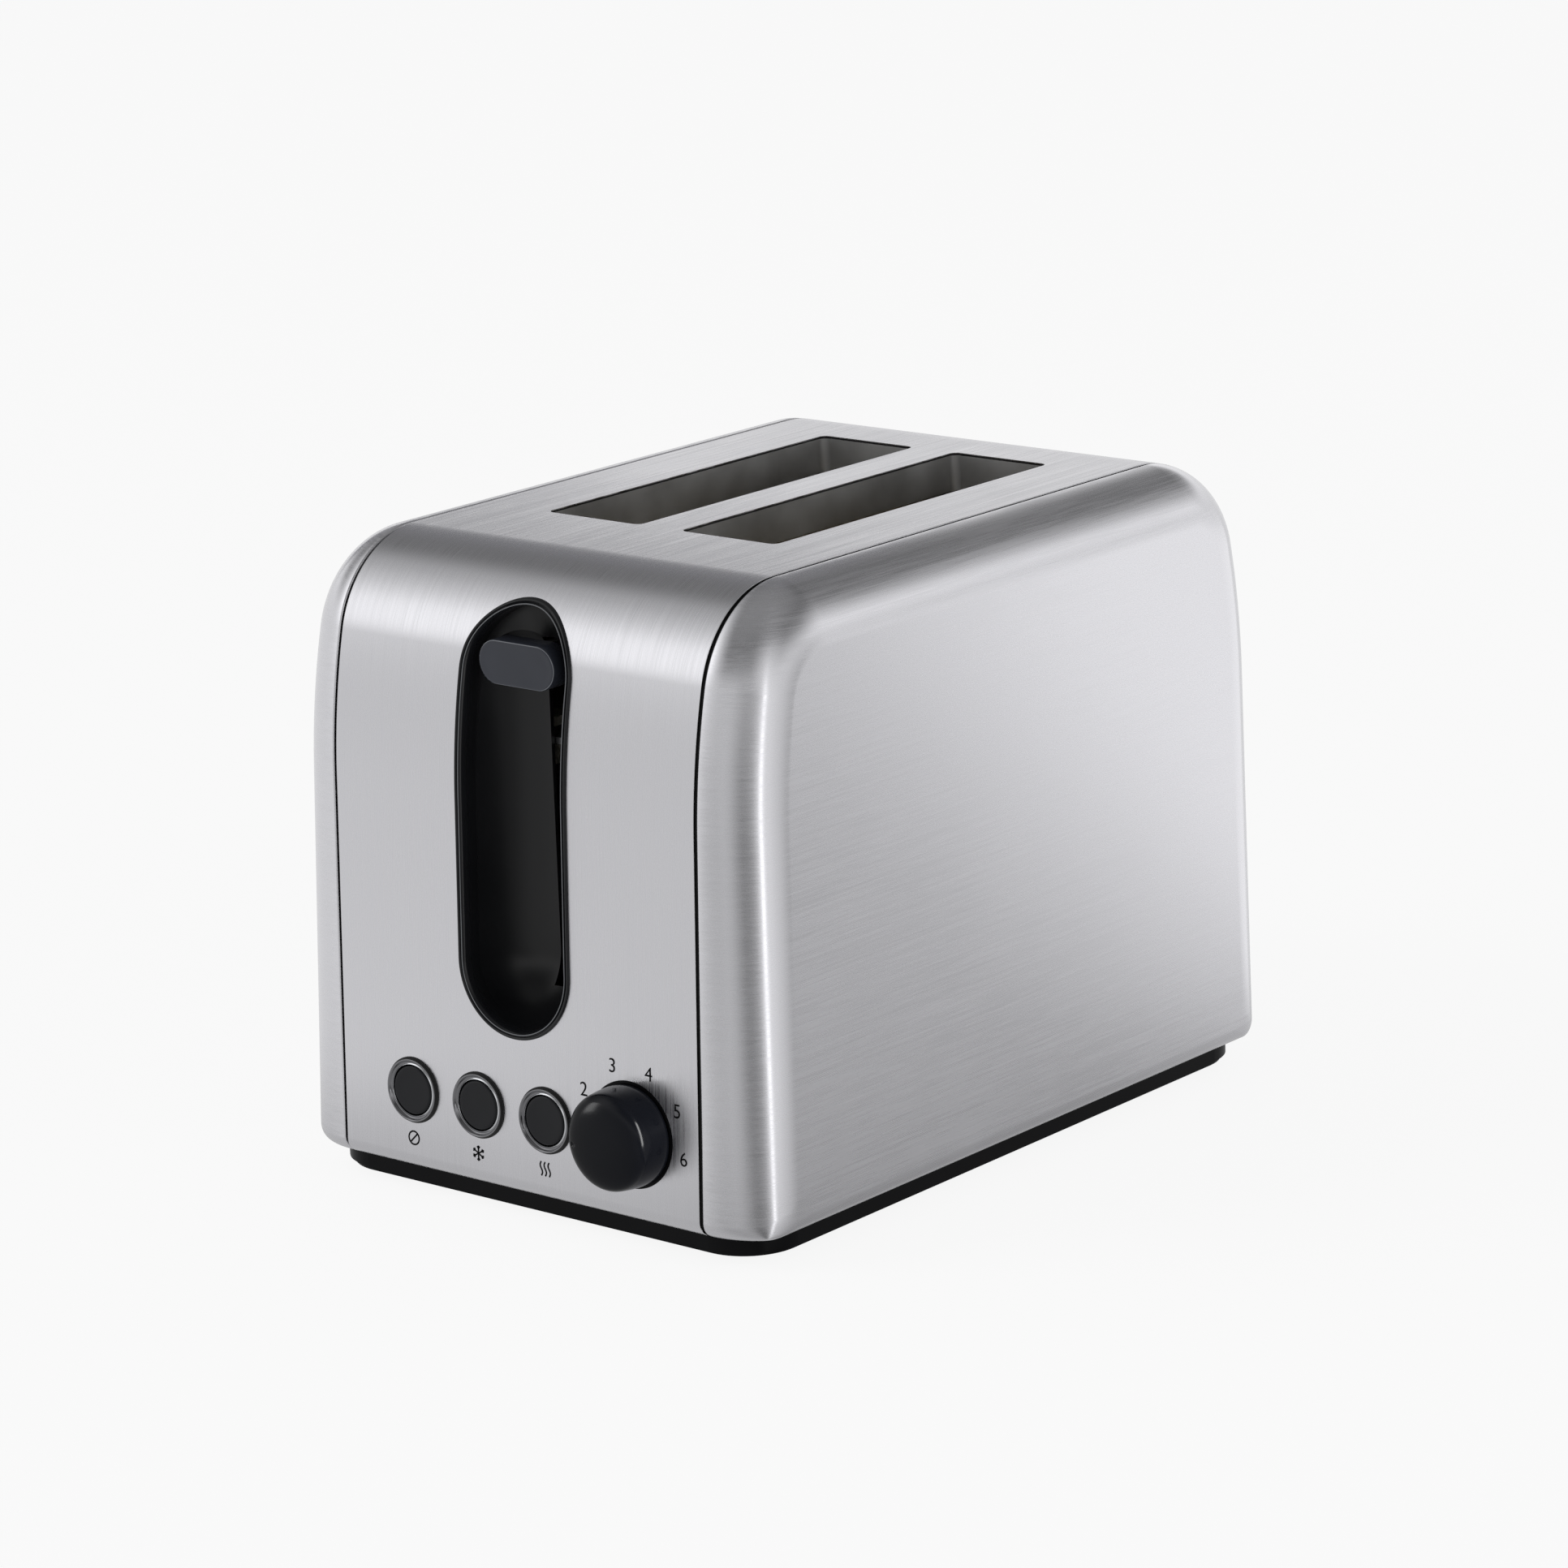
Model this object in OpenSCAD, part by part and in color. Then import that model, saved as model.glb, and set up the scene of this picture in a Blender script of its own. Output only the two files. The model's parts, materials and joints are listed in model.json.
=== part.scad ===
// Two-slice pop-up toaster.
// +X is the right side, -Y the control side, +Z up. The feet stand on z = 0.
// Parts are drawn with y counted backwards from the foot of the front panel,
// then placed() moves them so that the origin is the middle of the footprint.

/* [Body] */
// Length of the steel body, front panel to rear
body_length = 250; // [244:1:256]
// Height of the top above the table
body_height = 191; // [189:1:194]
// Width of the centre band between the seams
panel_width = 136; // [134:1:138]
// Width of each side cover at its foot, seam included
cover_width = 22; // [20:0.5:24]
// Gap between the band and each cover
seam = 0.7; // [0.5:0.1:1]
// Rounding where a cover's edge turns into its side
edge_round = 18; // [15:1:20]
// How much a cover narrows for each millimetre of height
cover_taper = 0.0205; // [0:0.0005:0.03]
// Thickness of the band's sheet
band_sheet = 0.8; // [0.6:0.1:1]
// Thickness of a cover's sheet
cover_sheet = 1.0; // [0.8:0.1:1.2]

/* [Side outline] */
// Lean of the front panel, in degrees
front_lean = 2; // [0:0.5:3]
// Length of the straight lower stretch of the panel
straight = 115; // [110:1:118]
// Radius of the gentle bend above it
mid_radius = 215; // [190:5:240]
// Angle that the gentle bend turns through
mid_turn = 11.3; // [9:0.1:13]
// Radius of the roll at the foot of the sheet metal
foot_roll = 5; // [4:0.5:6]

/* [Base] */
// Height of the rubber feet below the base
foot_height = 2; // [1:0.5:3]
// Height of the plastic base
base_height = 6.6; // [6:0.1:8]
// How far the base stands in from the covers and panel
base_inset = 6.5; // [5:0.5:8]

/* [Bread slots] */
// Length of each slot
slot_length = 128.4; // [124:0.2:130]
// Width of each slot
slot_width = 35.7; // [34:0.1:36.5]
// Width of the bridge between the slots
slot_bridge = 15.4; // [15:0.1:17]
// Distance from the front of the body to the slots
slot_front = 72.7; // [72:0.1:74]

/* [Lever] */
// Half width of the window's opening, which is also the recess radius
window_r = 18.75; // [18.5:0.05:19]
// Height of the opening's lower end
window_low = 57.6; // [57:0.1:59]
// Height of the opening's upper end
window_high = 178.9; // [178:0.1:180]
// Width of the bezel's rim
bezel_rim = 2.4; // [2:0.1:3]
// Width of the lever's paddle
paddle_w = 28.5; // [26:0.5:29]
// Height of the lever's paddle
paddle_h = 13; // [12:0.5:13]
// Height of the paddle's middle, up
paddle_z = 163.4; // [162:0.2:164]
// Travel of the lever and bread racks
lever_travel = 90; // [80:1:90]

/* [Controls] */
// Distance between the buttons
button_pitch = 25.7; // [25:0.1:26]
// Position of the first button left of the middle
button_x = -40.6; // [-42:0.1:-40]
// Height of the buttons
button_z = 33.1; // [32:0.1:35]
// Outer radius of the ring round a button
ring_r = 9.9; // [9.5:0.1:10.2]
// Radius of a button's cap
cap_r = 7.3; // [7:0.1:7.4]
// Position of the dial right of the middle
dial_x = 42.8; // [42:0.1:43]
// Height of the dial
dial_z = 34.7; // [34:0.1:36]
// Radius of the dial's knob
knob_r = 14.6; // [14:0.1:15]
// How far the knob stands out of the panel
knob_out = 13.3; // [12:0.1:14]

/* [Hidden] */

$fn = 48;
eps = 0.01;
steel = [0.77, 0.77, 0.79];
inner_steel = [0.68, 0.69, 0.7];
black = [0.05, 0.05, 0.055];
chrome = [0.8, 0.81, 0.83];
mica = [0.78, 0.71, 0.55];

// Derived places
foot_z = foot_height + base_height;
half_panel = panel_width / 2;
cover_x = half_panel + seam;
cover_bulge = cover_width - seam;
half_width = half_panel + cover_width;
tail_out = 6;
// The knob's lower edge reaches furthest forward, the cord bushing furthest back
knob_reach = (dial_z - foot_z) * tan(front_lean) - knob_out * cos(front_lean)
  - (knob_r - 1.6) * sin(front_lean);
front_y = -(body_length + tail_out + knob_reach) / 2;
slot_in = slot_bridge / 2;
slot_out = slot_in + slot_width;
slot_mid = slot_in + slot_width / 2;
slot_rear = slot_front + slot_length;

// Chassis
plate_t = 0.8;
front_plate_y = 62;
rear_plate_y = 211;
plate_half = 64;
plate_top = body_height - band_sheet - 1;
reflector_x = 54;
card_x = 48.8;
card_t = 0.8;
card_low = 34;
card_high = 176;
wire_t = 0.4;
cards_end = rear_plate_y - front_plate_y - plate_t;
guard_in_x = 5.2;
guard_out_x = 45.8;
guard_r = 0.8;
guard_travel = 7;
guard_low = 32;
guard_high = 175;
flange_x = 54.6;
flange_w = plate_half - flange_x;
screw_r = 1.5;
chassis_screw_at = [[59, 56], [59, 217]];
cover_screw_at = [[76, 55], [76, 195]];

// Carriage
rod_y = 46;
rod_r = 2.5;
rod_low = 10;
rod_high = 184;
bracket_y = 54;
bracket_t = 1.2;
rack_z = 134;
rack_h = 8;
rack_half = 10;
slider_low = 138;
slider_high = 175.8;
rod_bracket_z = 180;
spring_x = 14;
spring_low = 160;
spring_tab_t = 1.5;

// Control side
board_y = 22;
board_t = 1.6;
bracket_plate_y = 12.5;
board_half = 62;
board_low = 13;
board_high = 50;
board_posts = [[-56, 18], [56, 18], [-56, 46], [22, 46]];
button_travel = 1.5;
magnet_y0 = 28;
magnet_y1 = 38;
magnet_top = 45.7;
pusher_x = -24;
contact_z = 33;

// Rear
gland_x = -56;
gland_z = 36;
tray_half = 50.5;
tray_front = 65;
tray_low = foot_z + 0.4;
tray_wall_top = 17;
cutout_half = 53;
cutout_top = 22.5;
rear_seam = 118;
lead_x = -59.6;
lead_r = 1.3;
lead_at = [22.5, 27.5];

module placed() {
  translate([0, front_y, 0]) children();
}

module mirrored_x() {
  children();
  mirror([1, 0, 0]) children();
}

// ---- Side outline ----

function arc(c, r, a0, a1, n) =
  [for (i = [0 : n]) let (a = a0 + (a1 - a0) * i / n) c + r * [cos(a), sin(a)]];

function reversed(v) = [for (i = [len(v) - 1 : -1 : 0]) v[i]];

// Half of the outline, from its foot to the top, e inside the body's surface and
// with its bottom edge eb above the foot of the sheets. s sets the fineness.
function half_outline(lean, e, eb, roll, s) =
  let (zc = foot_z + eb + roll,
       yc = (e + roll + (zc - foot_z) * sin(lean)) / cos(lean),
       t1 = [straight * sin(lean), foot_z + straight * cos(lean)],
       c1 = t1 + mid_radius * [cos(lean), -sin(lean)],
       a1 = 180 - lean,
       a2 = a1 - mid_turn,
       t2 = c1 + mid_radius * [cos(a2), sin(a2)],
       r2 = (body_height - t2[1]) / (1 - sin(a2)),
       c2 = t2 - r2 * [cos(a2), sin(a2)])
  concat(arc([yc, zc], roll, 270, a1, 4 * s),
         arc(c1, mid_radius - e, a1, a2, 4 * s),
         arc(c2, r2 - e, a2, 90, 10 * s));

function outline(e = 0, eb = 0, roll = foot_roll, s = 1) =
  concat(half_outline(front_lean, e, eb, roll, s),
         [for (p = reversed(half_outline(0, e, eb, roll, s))) [body_length - p[0], p[1]]]);

// A side outline made solid, from x0 to x1
module outline_slab(x0, x1, e = 0, s = 2) {
  translate([x0, 0, 0]) rotate([90, 0, 90])
    linear_extrude(x1 - x0) polygon(outline(e, max(e, 0), max(foot_roll - max(e, 0), 0.5), s));
}

// Things set on the front panel: x across, z up, +y into the body along its normal
module at_panel(x, z) {
  translate([x, (z - foot_z) * tan(front_lean), z]) rotate([-front_lean, 0, 0])
    children();
}

// A disc or tube along the panel's normal, from u0 to u1 outwards
module stub(r, u0, u1, fn = 64) {
  translate([0, -u0, 0]) rotate([90, 0, 0]) cylinder(r = r, h = u1 - u0, $fn = fn);
}

// An upright stadium of half width r between two heights, from y0 to y1
module stadium(r, low, high, y0, y1) {
  translate([0, y1, 0]) rotate([90, 0, 0]) linear_extrude(y1 - y0) {
    translate([-r, low + r]) square([2 * r, high - low - 2 * r]);
    for (z = [low + r, high - r]) translate([0, z]) circle(r, $fn = 96);
  }
}

module block(lo, hi) {
  translate(lo) cube(hi - lo);
}

module upright(x, y, r, z0, z1, fn = 40) {
  translate([x, y, z0]) cylinder(r = r, h = z1 - z0, $fn = fn);
}

module along_y(x, z, r, y0, y1, fn = 32) {
  translate([x, y1, z]) rotate([90, 0, 0]) cylinder(r = r, h = y1 - y0, $fn = fn);
}

module along_x(y, z, r, x0, x1, fn = 24) {
  translate([x0, y, z]) rotate([0, 90, 0]) cylinder(r = r, h = x1 - x0, $fn = fn);
}

// A rectangle with round corners, as a plate between two heights
module round_plate(half_x, y0, y1, r, z0, z1) {
  translate([0, 0, z0]) linear_extrude(z1 - z0) {
    translate([-half_x + r, y0]) square([2 * half_x - 2 * r, y1 - y0]);
    translate([-half_x, y0 + r]) square([2 * half_x, y1 - y0 - 2 * r]);
    for (x = [-half_x + r, half_x - r], y = [y0 + r, y1 - r])
      translate([x, y]) circle(r, $fn = 64);
  }
}

// ---- Covers ----

rings = 11;
function roll_rise(s) = s < foot_roll + 1
  ? foot_roll + 1 - sqrt(pow(foot_roll + 1, 2) - pow(foot_roll + 1 - s, 2)) : 0;

// One ring of a cover's surface, a quarter turn from its rim to its flat side
function cover_ring(phi, t) =
  let (e = t + (edge_round - t) * (1 - cos(phi)),
       eb = t + roll_rise((cover_bulge - t) * (1 - sin(phi))),
       points = outline(e, eb, foot_roll - t, 1))
  [for (p = points)
    [cover_x + (cover_bulge - t - cover_taper * (p[1] - foot_z)) * sin(phi), p[0], p[1]]];

function ring_faces(a, b, n, flip) =
  [for (k = [0 : n - 1], half = [0, 1])
    let (k2 = (k + 1) % n,
         f = half == 0 ? [a + k, a + k2, b + k2] : [a + k, b + k2, b + k])
    flip ? [f[2], f[1], f[0]] : f];

module cover_shell() {
  n = len(outline());
  outer = [for (i = [0 : rings]) cover_ring(90 * i / rings, 0)];
  inner = [for (i = [0 : rings]) cover_ring(90 * i / rings, cover_sheet)];
  points = [for (ring = concat(outer, inner), p = ring) p];
  second = (rings + 1) * n;
  faces = concat(
    [for (i = [0 : rings - 1], f = ring_faces(i * n, (i + 1) * n, n, false)) f],
    [for (i = [0 : rings - 1], f = ring_faces(second + i * n, second + (i + 1) * n, n, true)) f],
    ring_faces(0, second, n, true),
    [[for (k = [0 : n - 1]) rings * n + k]],
    [[for (k = [n - 1 : -1 : 0]) second + rings * n + k]]);
  polyhedron(points, faces, convexity = 6);
}

module cover() {
  difference() {
    cover_shell();
    for (at = cover_screw_at)
      upright(at[0], at[1], screw_r + 0.2, foot_z - 1, foot_z + 3, 24);
  }
}

module right_cover() color(steel) placed() cover();

module left_cover() color(steel) placed() mirror([1, 0, 0]) cover();

// ---- Band ----

module slot_holes(z0, z1, grow = 0) {
  r = 2.5;
  mirrored_x() translate([slot_mid, 0, 0])
    round_plate(slot_width / 2 + grow, slot_front - grow, slot_rear + grow, r, z0, z1);
}

// The whole wrap of sheet, before it is parted into band and rear panel
module wrap() difference() {
  outline_slab(-half_panel, half_panel, 0);
  outline_slab(-half_panel - 1, half_panel + 1, band_sheet);
  block([-half_panel - 1, 15, foot_z - 1], [half_panel + 1, body_length - 15, foot_z + 3]);
}

// The space of the rear panel, up to a height
module rear_space(top) {
  block([-half_panel - 2, rear_plate_y, 0], [half_panel + 2, body_length + 2, top]);
}

module center_band() color(steel) placed() difference() {
  wrap();
  rear_space(rear_seam + 0.3);
  slot_holes(body_height - 5, body_height + 5);
  stadium(window_r + bezel_rim - 0.75, window_low - bezel_rim + 0.75,
          window_high + bezel_rim - 0.75, -10, 60);
  for (i = [0 : 2])
    at_panel(button_x + i * button_pitch, button_z) stub(ring_r - 0.9, -5, 5);
  at_panel(dial_x, dial_z) stub(knob_r + 1.1, -5, 5);
}

module rear_panel() color(steel) placed() difference() {
  intersection() {
    wrap();
    rear_space(rear_seam);
  }
  along_y(gland_x, gland_z, 6.6, body_length - 5, body_length + 5);
  block([-cutout_half, body_length - 20, foot_z - 1], [cutout_half, body_length + 5, cutout_top]);
}

// ---- Base ----

module base() color(black) placed() {
  r = 18;
  lip = 1.6;
  floor_t = 3;
  half_x = half_width - base_inset;
  y1 = body_length - base_inset + 0.5;
  wall = 4;
  difference() {
    union() {
      round_plate(half_x - lip, base_inset + lip - 0.5, y1 - lip, r - lip,
                  foot_height, foot_height + lip);
      round_plate(half_x, base_inset - 0.5, y1, r, foot_height + lip, foot_z);
      upright(0, rod_y, 6, foot_z - eps, 16);
    }
    difference() {
      round_plate(half_x - lip - wall, base_inset + lip + wall, y1 - lip - wall, r - wall,
                  foot_height - 1, foot_z - floor_t);
      for (x = [-66, 66], y = [26, body_length - 26]) upright(x, y, 9, 0, foot_z);
      for (at = concat(chassis_screw_at, cover_screw_at), s = [-1, 1])
        upright(s * at[0], at[1], 5.2, 0, foot_z);
      for (y = [80, 125, 170]) block([-90, y - 1, 0], [90, y + 1, foot_z]);
    }
    for (x = [-66, 66], y = [26, body_length - 26]) upright(x, y, 6.1, 0, foot_height + 1.5);
    for (at = concat(chassis_screw_at, cover_screw_at), s = [-1, 1]) {
      upright(s * at[0], at[1], screw_r + 0.2, 0, foot_z + 1);
      upright(s * at[0], at[1], 3.4, 0, foot_height + 3.2);
    }
    upright(0, rod_y, rod_r + 0.03, rod_low - eps, 20);
  }
}

module rubber_feet() color([0.09, 0.09, 0.09]) placed()
  for (x = [-66, 66], y = [26, body_length - 26]) {
    upright(x, y, 6, 1, foot_height + 1.5);
    translate([x, y, 0]) cylinder(r1 = 5.2, r2 = 6, h = 1, $fn = 40);
  }

// ---- Lever window ----

module lever_bezel() color(black) placed() difference() {
  union() {
    intersection() {
      stadium(window_r + bezel_rim, window_low - bezel_rim, window_high + bezel_rim, -5, 60);
      difference() {
        outline_slab(-40, 40, -0.8);
        outline_slab(-41, 41, 0);
      }
    }
    intersection() {
      stadium(window_r + bezel_rim - 0.85, window_low - bezel_rim + 0.85,
              window_high + bezel_rim - 0.85, -5, 60);
      difference() {
        outline_slab(-40, 40, -0.4);
        outline_slab(-41, 41, 2);
      }
    }
  }
  stadium(window_r, window_low, window_high, -9, 70);
}

recess_y = 7.25;
recess_r = window_r - 0.15;
recess_wall = 1.6;

// A capsule with round ends, lying against the window from behind
module capsule(r) {
  low = window_low + window_r;
  high = window_high - window_r;
  upright(0, recess_y, r, low, high, 96);
  for (z = [low, high]) translate([0, recess_y, z]) sphere(r, $fn = 96);
}

// The window's own outline carried straight in, to a depth of e below the surface
module window_tube(r, grow, e) {
  difference() {
    stadium(r, window_low - grow, window_high + grow, -9, 60);
    outline_slab(-40, 40, e);
  }
}

module lever_recess() color(black) placed() difference() {
  intersection() {
    union() {
      capsule(recess_r + recess_wall);
      window_tube(window_r + recess_wall, recess_wall, 6 + recess_wall);
    }
    outline_slab(-40, 40, 2);
  }
  capsule(recess_r);
  window_tube(window_r, 0, 6);
  block([-3, recess_y, window_low + 8], [3, 60, paddle_z + 5]);
}

module lever_paddle() color([0.2, 0.21, 0.24]) placed() {
  front = 9;
  depth = 7.5;
  r = paddle_h / 2;
  difference() {
    translate([0, front + depth, paddle_z]) rotate([90, 0, 0]) linear_extrude(depth) {
      square([paddle_w - 2 * r, paddle_h], center = true);
      for (s = [-1, 1]) translate([s * (paddle_w / 2 - r), 0]) circle(r, $fn = 64);
    }
    block([-1.25, front + 3, paddle_z - 4.05], [1.25, 60, paddle_z + 4.05]);
  }
}

module lever_arm() color(inner_steel) placed()
  block([-1.2, 12.2, paddle_z - 4], [1.2, 38, paddle_z + 4]);

// ---- Buttons ----

module button_ring(x) color(chrome) placed() at_panel(x, button_z) difference() {
  union() {
    stub(ring_r, 0, 1.2, 96);
    stub(ring_r - 1, -3, 0, 96);
  }
  stub(cap_r + 0.3, -5, 3, 96);
  translate([0, -0.3, 0]) rotate([90, 0, 0])
    cylinder(r1 = cap_r + 0.3, r2 = cap_r + 1.7, h = 1.4, $fn = 96);
}

module cancel_ring() button_ring(button_x);

module defrost_ring() button_ring(button_x + button_pitch);

module reheat_ring() button_ring(button_x + 2 * button_pitch);

module button(x) color(black) placed() at_panel(x, button_z) {
  stub(cap_r, -4, 0.8, 96);
  stub(2.5, -13.8, -4, 40);
}

module cancel_button() button(button_x);

module defrost_button() button(button_x + button_pitch);

module reheat_button() button(button_x + 2 * button_pitch);

// ---- Dial ----

module dial_collar() color(black) placed() at_panel(dial_x, dial_z) difference() {
  stub(knob_r + 1, -2, 0.15, 96);
  stub(3.4, -5, 5);
}

module dial_knob() color(black) placed() at_panel(dial_x, dial_z) difference() {
  union() {
    translate([0, -0.6, 0]) rotate([90, 0, 0])
      cylinder(r1 = knob_r + 0.3, r2 = knob_r, h = knob_out - 2.4, $fn = 96);
    translate([0, -knob_out + 1.8, 0]) rotate([90, 0, 0])
      cylinder(r1 = knob_r, r2 = knob_r - 1.6, h = 1.8, $fn = 96);
  }
  difference() {
    stub(knob_r - 1.8, 0, knob_out - 3.5);
    stub(4.6, 0, knob_out);
  }
  stub(3, 0, knob_out - 4);
  rotate([0, -190, 0]) translate([knob_r - 3, -knob_out - 0.4, 0]) sphere(1.5, $fn = 32);
}

module dial_shaft() color(inner_steel) placed() at_panel(dial_x, dial_z)
  stub(2.95, -19, knob_out - 4.2);

module dial_potentiometer() color([0.2, 0.35, 0.3]) placed() at_panel(dial_x, dial_z)
  difference() {
    stub(8.5, -20.2, -13.4);
    stub(3, -19.1, 0);
  }

// ---- Control electronics ----

module control_bracket() color([0.85, 0.84, 0.8]) placed() difference() {
  union() {
    block([-60, bracket_plate_y, foot_z + 1], [30, bracket_plate_y + 1.6, 52]);
    block([-60, bracket_plate_y, foot_z + 1], [60, bracket_plate_y + 1.6, 20]);
    block([-60, 10, foot_z + band_sheet + 0.2], [60, bracket_plate_y + 1.6, foot_z + 3]);
    for (p = board_posts) along_y(p[0], p[1], 3, bracket_plate_y + 1, board_y);
    for (i = [0 : 2])
      at_panel(button_x + i * button_pitch, button_z) stub(4.2, -14, -9.5);
  }
  for (i = [0 : 2])
    at_panel(button_x + i * button_pitch, button_z) stub(2.8, -20, -2);
  for (p = board_posts) along_y(p[0], p[1], 1.35, board_y - 6, board_y + 1);
  at_panel(dial_x, dial_z) stub(9.5, -30, 0);
}

module control_board() color([0.1, 0.35, 0.16]) placed() difference() {
  block([-board_half, board_y, board_low], [board_half, board_y + board_t, board_high]);
  for (p = board_posts) along_y(p[0], p[1], 1.5, board_y - 1, board_y + 3);
}

module button_switches() color([0.15, 0.15, 0.16]) placed()
  for (i = [0 : 2]) translate([button_x + i * button_pitch, 0, button_z - 0.6]) {
    block([-3, board_y - 3.5, -3], [3, board_y, 3]);
    along_y(0, 0, 1.7, board_y - 4.8, board_y - 3.4, 24);
  }

module board_screws() color(inner_steel) placed() for (p = board_posts) {
  along_y(p[0], p[1], 1.3, board_y - 5, board_y + board_t + eps);
  along_y(p[0], p[1], 2.6, board_y + board_t, board_y + board_t + 1.6);
}

// E-shaped core: a yoke with three legs, on a foot behind the board
module magnet_core() color([0.45, 0.45, 0.47]) placed() {
  difference() {
    block([-12, magnet_y0, 14], [12, magnet_y1, magnet_top]);
    for (s = [-1, 1]) block([s * 5.75 - 2.75, 0, 19], [s * 5.75 + 2.75, 60, 60]);
  }
  block([-8, board_y + board_t, 14], [8, magnet_y0 + eps, 19]);
}

module magnet_coil() color([0.72, 0.35, 0.15]) placed() difference() {
  round_plate(8.2, magnet_y0 - 2.6, magnet_y1 + 2.6, 2.5, 20, 43);
  block([-3.05, magnet_y0 - 0.05, 0], [3.05, magnet_y1 + 0.05, 60]);
}

module power_contacts() color([0.8, 0.6, 0.3]) placed() for (i = [0, 1]) {
  x = pusher_x - 4 + i * 5;
  block([x, board_y + board_t, contact_z - 3], [x + 3, board_y + board_t + 4, contact_z + 1]);
  block([x, board_y + board_t + 3, contact_z], [x + 3, 52, contact_z + 0.6]);
}

// ---- Carriage guide ----

module guide_rod() color(chrome) placed() upright(0, rod_y, rod_r, rod_low, rod_high);

module rod_bracket() color(inner_steel) placed() difference() {
  union() {
    block([-16, 38, rod_bracket_z], [19, front_plate_y, rod_bracket_z + 1.2]);
    block([-16, front_plate_y - 1.2, rod_bracket_z], [19, front_plate_y, rod_bracket_z + 8]);
  }
  upright(0, rod_y, rod_r + 0.05, 170, 190);
}

module carriage_bumper() color([0.1, 0.1, 0.1]) placed() difference() {
  upright(0, rod_y, 6, slider_high + 0.2, rod_bracket_z);
  upright(0, rod_y, rod_r + 0.1, 170, 190);
}

// Coil spring: a round wire swept along a helix
module return_spring() color(chrome) placed() {
  coil_r = 3.2;
  wire_r = 0.4;
  turns = 9;
  per_turn = 14;
  sides = 6;
  height = rod_bracket_z - spring_low - 2 * wire_r - 0.1;
  steps = turns * per_turn;
  rise = height / steps;
  slope = atan(height / (turns * 360 * coil_r * PI / 180));
  points = [for (i = [0 : steps], j = [0 : sides - 1])
    let (a = 360 * i / per_turn, b = 360 * j / sides,
         out = coil_r + wire_r * cos(b), up = wire_r * sin(b))
    [out * cos(a) + up * sin(slope) * sin(a), out * sin(a) - up * sin(slope) * cos(a),
     rise * i + up * cos(slope)]];
  faces = concat(
    [for (i = [0 : steps - 1], j = [0 : sides - 1], half = [0, 1])
      let (k = (j + 1) % sides, a = i * sides, b = a + sides)
      half == 0 ? [a + j, b + j, b + k] : [a + j, b + k, a + k]],
    [[for (j = [0 : sides - 1]) j], [for (j = [sides - 1 : -1 : 0]) steps * sides + j]]);
  translate([spring_x, rod_y, spring_low + wire_r + 0.05]) polyhedron(points, faces, convexity = 10);
}

// ---- Carriage ----

module carriage_slider() color([0.8, 0.78, 0.72]) placed() difference() {
  block([-9, 38, slider_low], [9, bracket_y, slider_high]);
  upright(0, rod_y, rod_r + 0.06, 100, 190);
}

module carriage_bracket() color(inner_steel) placed() {
  block([-30, bracket_y, 130], [30, bracket_y + bracket_t, 162]);
  block([9.4, rod_y - 5, spring_low - spring_tab_t], [18.6, bracket_y, spring_low]);
}

module latch_plate() color([0.5, 0.5, 0.52]) placed()
  block([-12, recess_y + window_r + recess_wall + 0.6, slider_low - 2], [12, 42, slider_low]);

module contact_pusher() color([0.85, 0.84, 0.8]) placed()
  block([pusher_x - 5, 44, contact_z + 1.1 + lever_travel], [pusher_x + 5, bracket_y, 138]);

module bread_rack() {
  x = slot_mid;
  wire_r = 0.9;
  top = rack_z + rack_h;
  block([x - 1, bracket_y + bracket_t, rack_z], [x + 1, rear_plate_y + 3, top]);
  for (i = [0 : 6]) along_x(80 + i * 19, top - 1, wire_r, x - rack_half, x + rack_half);
  for (s = [-1, 1]) along_y(x + s * rack_half, top - 1, wire_r, 78, 196, 24);
}

module right_bread_rack() color(inner_steel) placed() bread_rack();

module left_bread_rack() color(inner_steel) placed() mirror([1, 0, 0]) bread_rack();

// ---- Chassis ----

module end_plate(y, foot_side) difference() {
  union() {
    block([-plate_half, y, foot_z], [plate_half, y + plate_t, plate_top]);
    mirrored_x() block([flange_x, y + (foot_side > 0 ? plate_t : -12), foot_z],
                       [plate_half, y + (foot_side > 0 ? 12 : eps), foot_z + plate_t]);
  }
  mirrored_x() {
    block([slot_mid - 1.6, y - 1, rack_z - lever_travel - 2],
          [slot_mid + 1.6, y + 2, rack_z + rack_h + 2]);
    for (z = [guard_low, guard_high]) {
      block([guard_in_x - 1.2, y - 1, z - 1.2], [guard_in_x + guard_travel + 1.2, y + 2, z + 1.2]);
      block([guard_out_x - guard_travel - 1.2, y - 1, z - 1.2], [guard_out_x + 1.2, y + 2, z + 1.2]);
    }
    for (z = lead_at) along_y(-lead_x, z, lead_r + 0.5, y - 1, y + 2);
    for (at = chassis_screw_at)
      upright(at[0], at[1], screw_r + 0.08, foot_z - 1, foot_z + 2, 24);
  }
}

module front_plate() color(inner_steel) placed() end_plate(front_plate_y, -1);

module rear_plate() color(inner_steel) placed() difference() {
  end_plate(rear_plate_y, 1);
  block([-tray_half - 3.3, rear_plate_y - 1, foot_z - 1],
        [tray_half + 3.3, rear_plate_y + 2, tray_wall_top + 1.5]);
}

module reflector() difference() {
  block([reflector_x, front_plate_y + plate_t, foot_z + 10],
        [reflector_x + 0.6, rear_plate_y, plate_top - 3]);
  for (i = [0 : 5], j = [0, 1])
    along_x(82 + i * 22, 50 + j * 100, 3, reflector_x - 1, reflector_x + 2);
}

module right_reflector() color(chrome) placed() reflector();

module left_reflector() color(chrome) placed() mirror([1, 0, 0]) reflector();

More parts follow.
